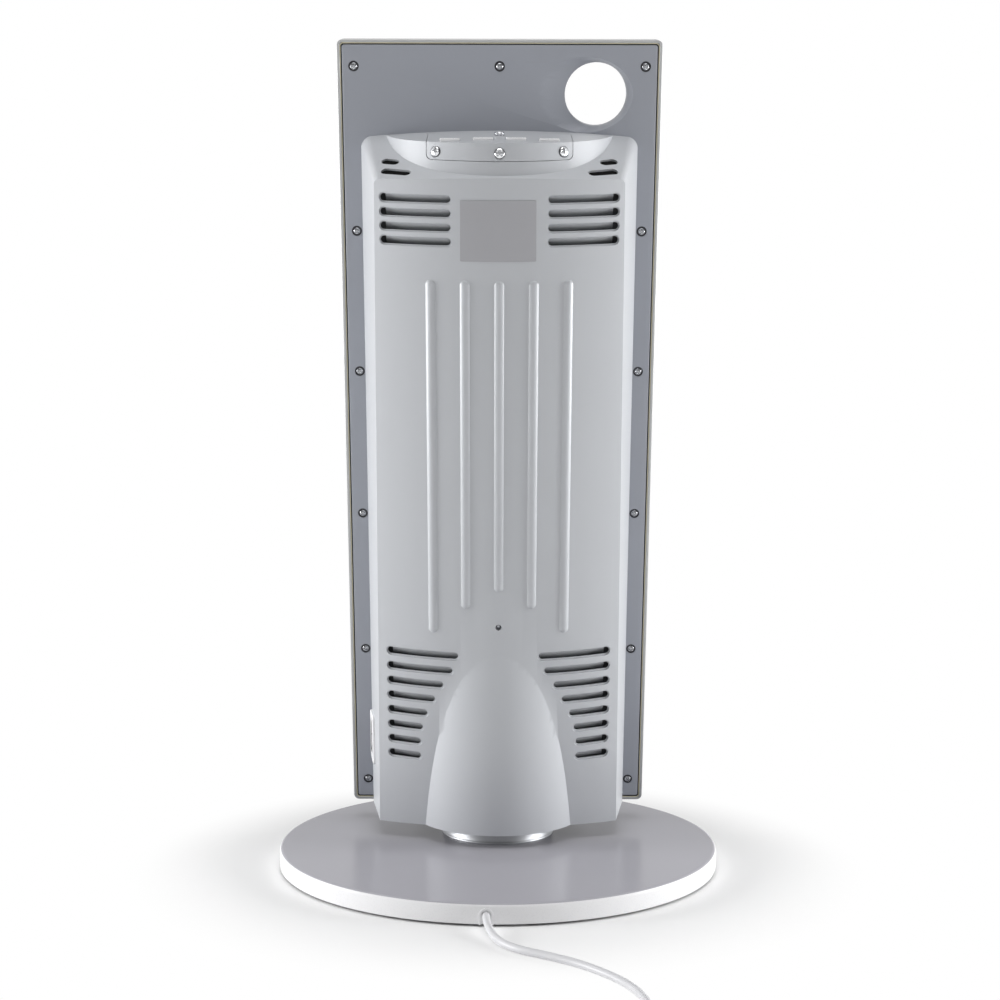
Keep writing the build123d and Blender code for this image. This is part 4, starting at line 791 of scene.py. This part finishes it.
def seen_white(tree, plain_shader, output, near=None):
    """Shows plain white, strength 1, to camera, glossy and transmission rays in place of a shader.

    near = (inner, outer): inside the inner distance from the origin these rays see the plain shader too, and
    the white comes in from there to the outer one.
    """
    rays = tree.nodes.new("ShaderNodeLightPath")
    total = rays.outputs["Is Camera Ray"]
    for kind in ("Is Glossy Ray", "Is Transmission Ray"):
        either = tree.nodes.new("ShaderNodeMath")
        either.operation = "MAXIMUM"
        tree.links.new(total, either.inputs[0])
        tree.links.new(rays.outputs[kind], either.inputs[1])
        total = either.outputs[0]
    if near:
        place = tree.nodes.new("ShaderNodeTexCoord")
        distance = tree.nodes.new("ShaderNodeVectorMath")
        distance.operation = "LENGTH"
        tree.links.new(place.outputs["Object"], distance.inputs[0])
        fade = tree.nodes.new("ShaderNodeMapRange")
        fade.interpolation_type = "SMOOTHSTEP"
        fade.inputs["From Min"].default_value, fade.inputs["From Max"].default_value = near
        tree.links.new(distance.outputs["Value"], fade.inputs["Value"])
        both = tree.nodes.new("ShaderNodeMath")
        both.operation = "MULTIPLY"
        tree.links.new(total, both.inputs[0])
        tree.links.new(fade.outputs["Result"], both.inputs[1])
        total = both.outputs[0]
    if output == "World":
        total = only_backdrop_in_gloss(tree, rays, total)
    white = tree.nodes.new("ShaderNodeBackground" if output == "World" else "ShaderNodeEmission")
    white.inputs["Color"].default_value = (1, 1, 1, 1)
    white.inputs["Strength"].default_value = 1
    mix = tree.nodes.new("ShaderNodeMixShader")
    tree.links.new(total, mix.inputs[0])
    tree.links.new(plain_shader, mix.inputs[1])
    tree.links.new(white.outputs[0], mix.inputs[2])
    return mix.outputs[0]


world = bpy.data.worlds.new("studio")
world.use_nodes = True
world_tree = world.node_tree
ambient = world_tree.nodes["Background"]
ambient.inputs[0].default_value = (1, 1, 1, 1)
AMBIENT_AT_HORIZON = 0.37
AMBIENT_AT_ZENITH = 0.22
direction = world_tree.nodes.new("ShaderNodeTexCoord")
height_split = world_tree.nodes.new("ShaderNodeSeparateXYZ")
world_tree.links.new(direction.outputs["Generated"], height_split.inputs[0])
ceiling = world_tree.nodes.new("ShaderNodeMapRange")
ceiling.interpolation_type = "SMOOTHSTEP"
ceiling.inputs["From Min"].default_value = 0.15
ceiling.inputs["From Max"].default_value = 0.8
ceiling.inputs["To Min"].default_value = AMBIENT_AT_HORIZON
ceiling.inputs["To Max"].default_value = AMBIENT_AT_ZENITH
world_tree.links.new(height_split.outputs["Z"], ceiling.inputs["Value"])
world_tree.links.new(ceiling.outputs["Result"], ambient.inputs[1])
world_out = world_tree.nodes["World Output"]
world_tree.links.new(seen_white(world_tree, ambient.outputs[0], "World"), world_out.inputs["Surface"])
bpy.context.scene.world = world

floor_material = bpy.data.materials.new("floor_white")
floor_material.use_nodes = True
floor_tree = floor_material.node_tree
floor_shader = floor_tree.nodes["Principled BSDF"]
floor_shader.inputs["Base Color"].default_value = (0.92, 0.92, 0.92, 1)
floor_shader.inputs["Roughness"].default_value = 0.6
floor_out = floor_tree.nodes["Material Output"]
floor_tree.links.new(
    seen_white(floor_tree, floor_shader.outputs[0], "Floor", near=(0.2, 0.33)), floor_out.inputs["Surface"]
)
floor.data.materials.append(floor_material)


def area_light(name, place, target, size, watts):
    """A soft rectangular lamp that points at the target."""
    data = bpy.data.lights.new(name, "AREA")
    data.shape = "RECTANGLE"
    data.size, data.size_y = size
    data.energy = watts
    light = bpy.data.objects.new(name, data)
    bpy.context.scene.collection.objects.link(light)
    light.location = place
    light.rotation_euler = (Vector(target) - Vector(place)).to_track_quat("-Z", "Y").to_euler()


SIDE_BOX_TARGET = (0, -0.05, 0.3)
SIDE_BOX_SIZE = (0.7, 0.82)
SIDE_BOX_WATTS = 24
area_light("left_box", (-1.65, -0.16, 0.42), SIDE_BOX_TARGET, SIDE_BOX_SIZE, SIDE_BOX_WATTS)
area_light("right_box", (1.65, -0.12, 0.42), SIDE_BOX_TARGET, SIDE_BOX_SIZE, SIDE_BOX_WATTS)
area_light("top_box", (0, -0.6, 1.9), (0, 0, 0.3), (1.4, 1.0), 12)


def look(yaw, pitch, roll):
    """Camera directions: forward is turned right by yaw and down by pitch, then the picture turns by roll."""
    forward = Vector((math.sin(yaw) * math.cos(pitch), math.cos(yaw) * math.cos(pitch), -math.sin(pitch)))
    level_right = Vector((math.cos(yaw), -math.sin(yaw), 0))
    level_up = level_right.cross(forward)
    right = level_right * math.cos(roll) + level_up * math.sin(roll)
    up = level_up * math.cos(roll) - level_right * math.sin(roll)
    return Matrix((right, up, -forward)).transposed().to_euler()


camera_data = bpy.data.cameras.new("camera")
camera_data.sensor_width = 36
camera_data.lens = 63.07
camera = bpy.data.objects.new("camera", camera_data)
camera.location = (-0.0021, -1.5559, 0.4280)
camera.rotation_euler = look(math.radians(0.121), math.radians(3.755), math.radians(0.119))
bpy.context.scene.collection.objects.link(camera)
bpy.context.scene.camera = camera
bpy.context.scene.view_settings.view_transform = "Standard"
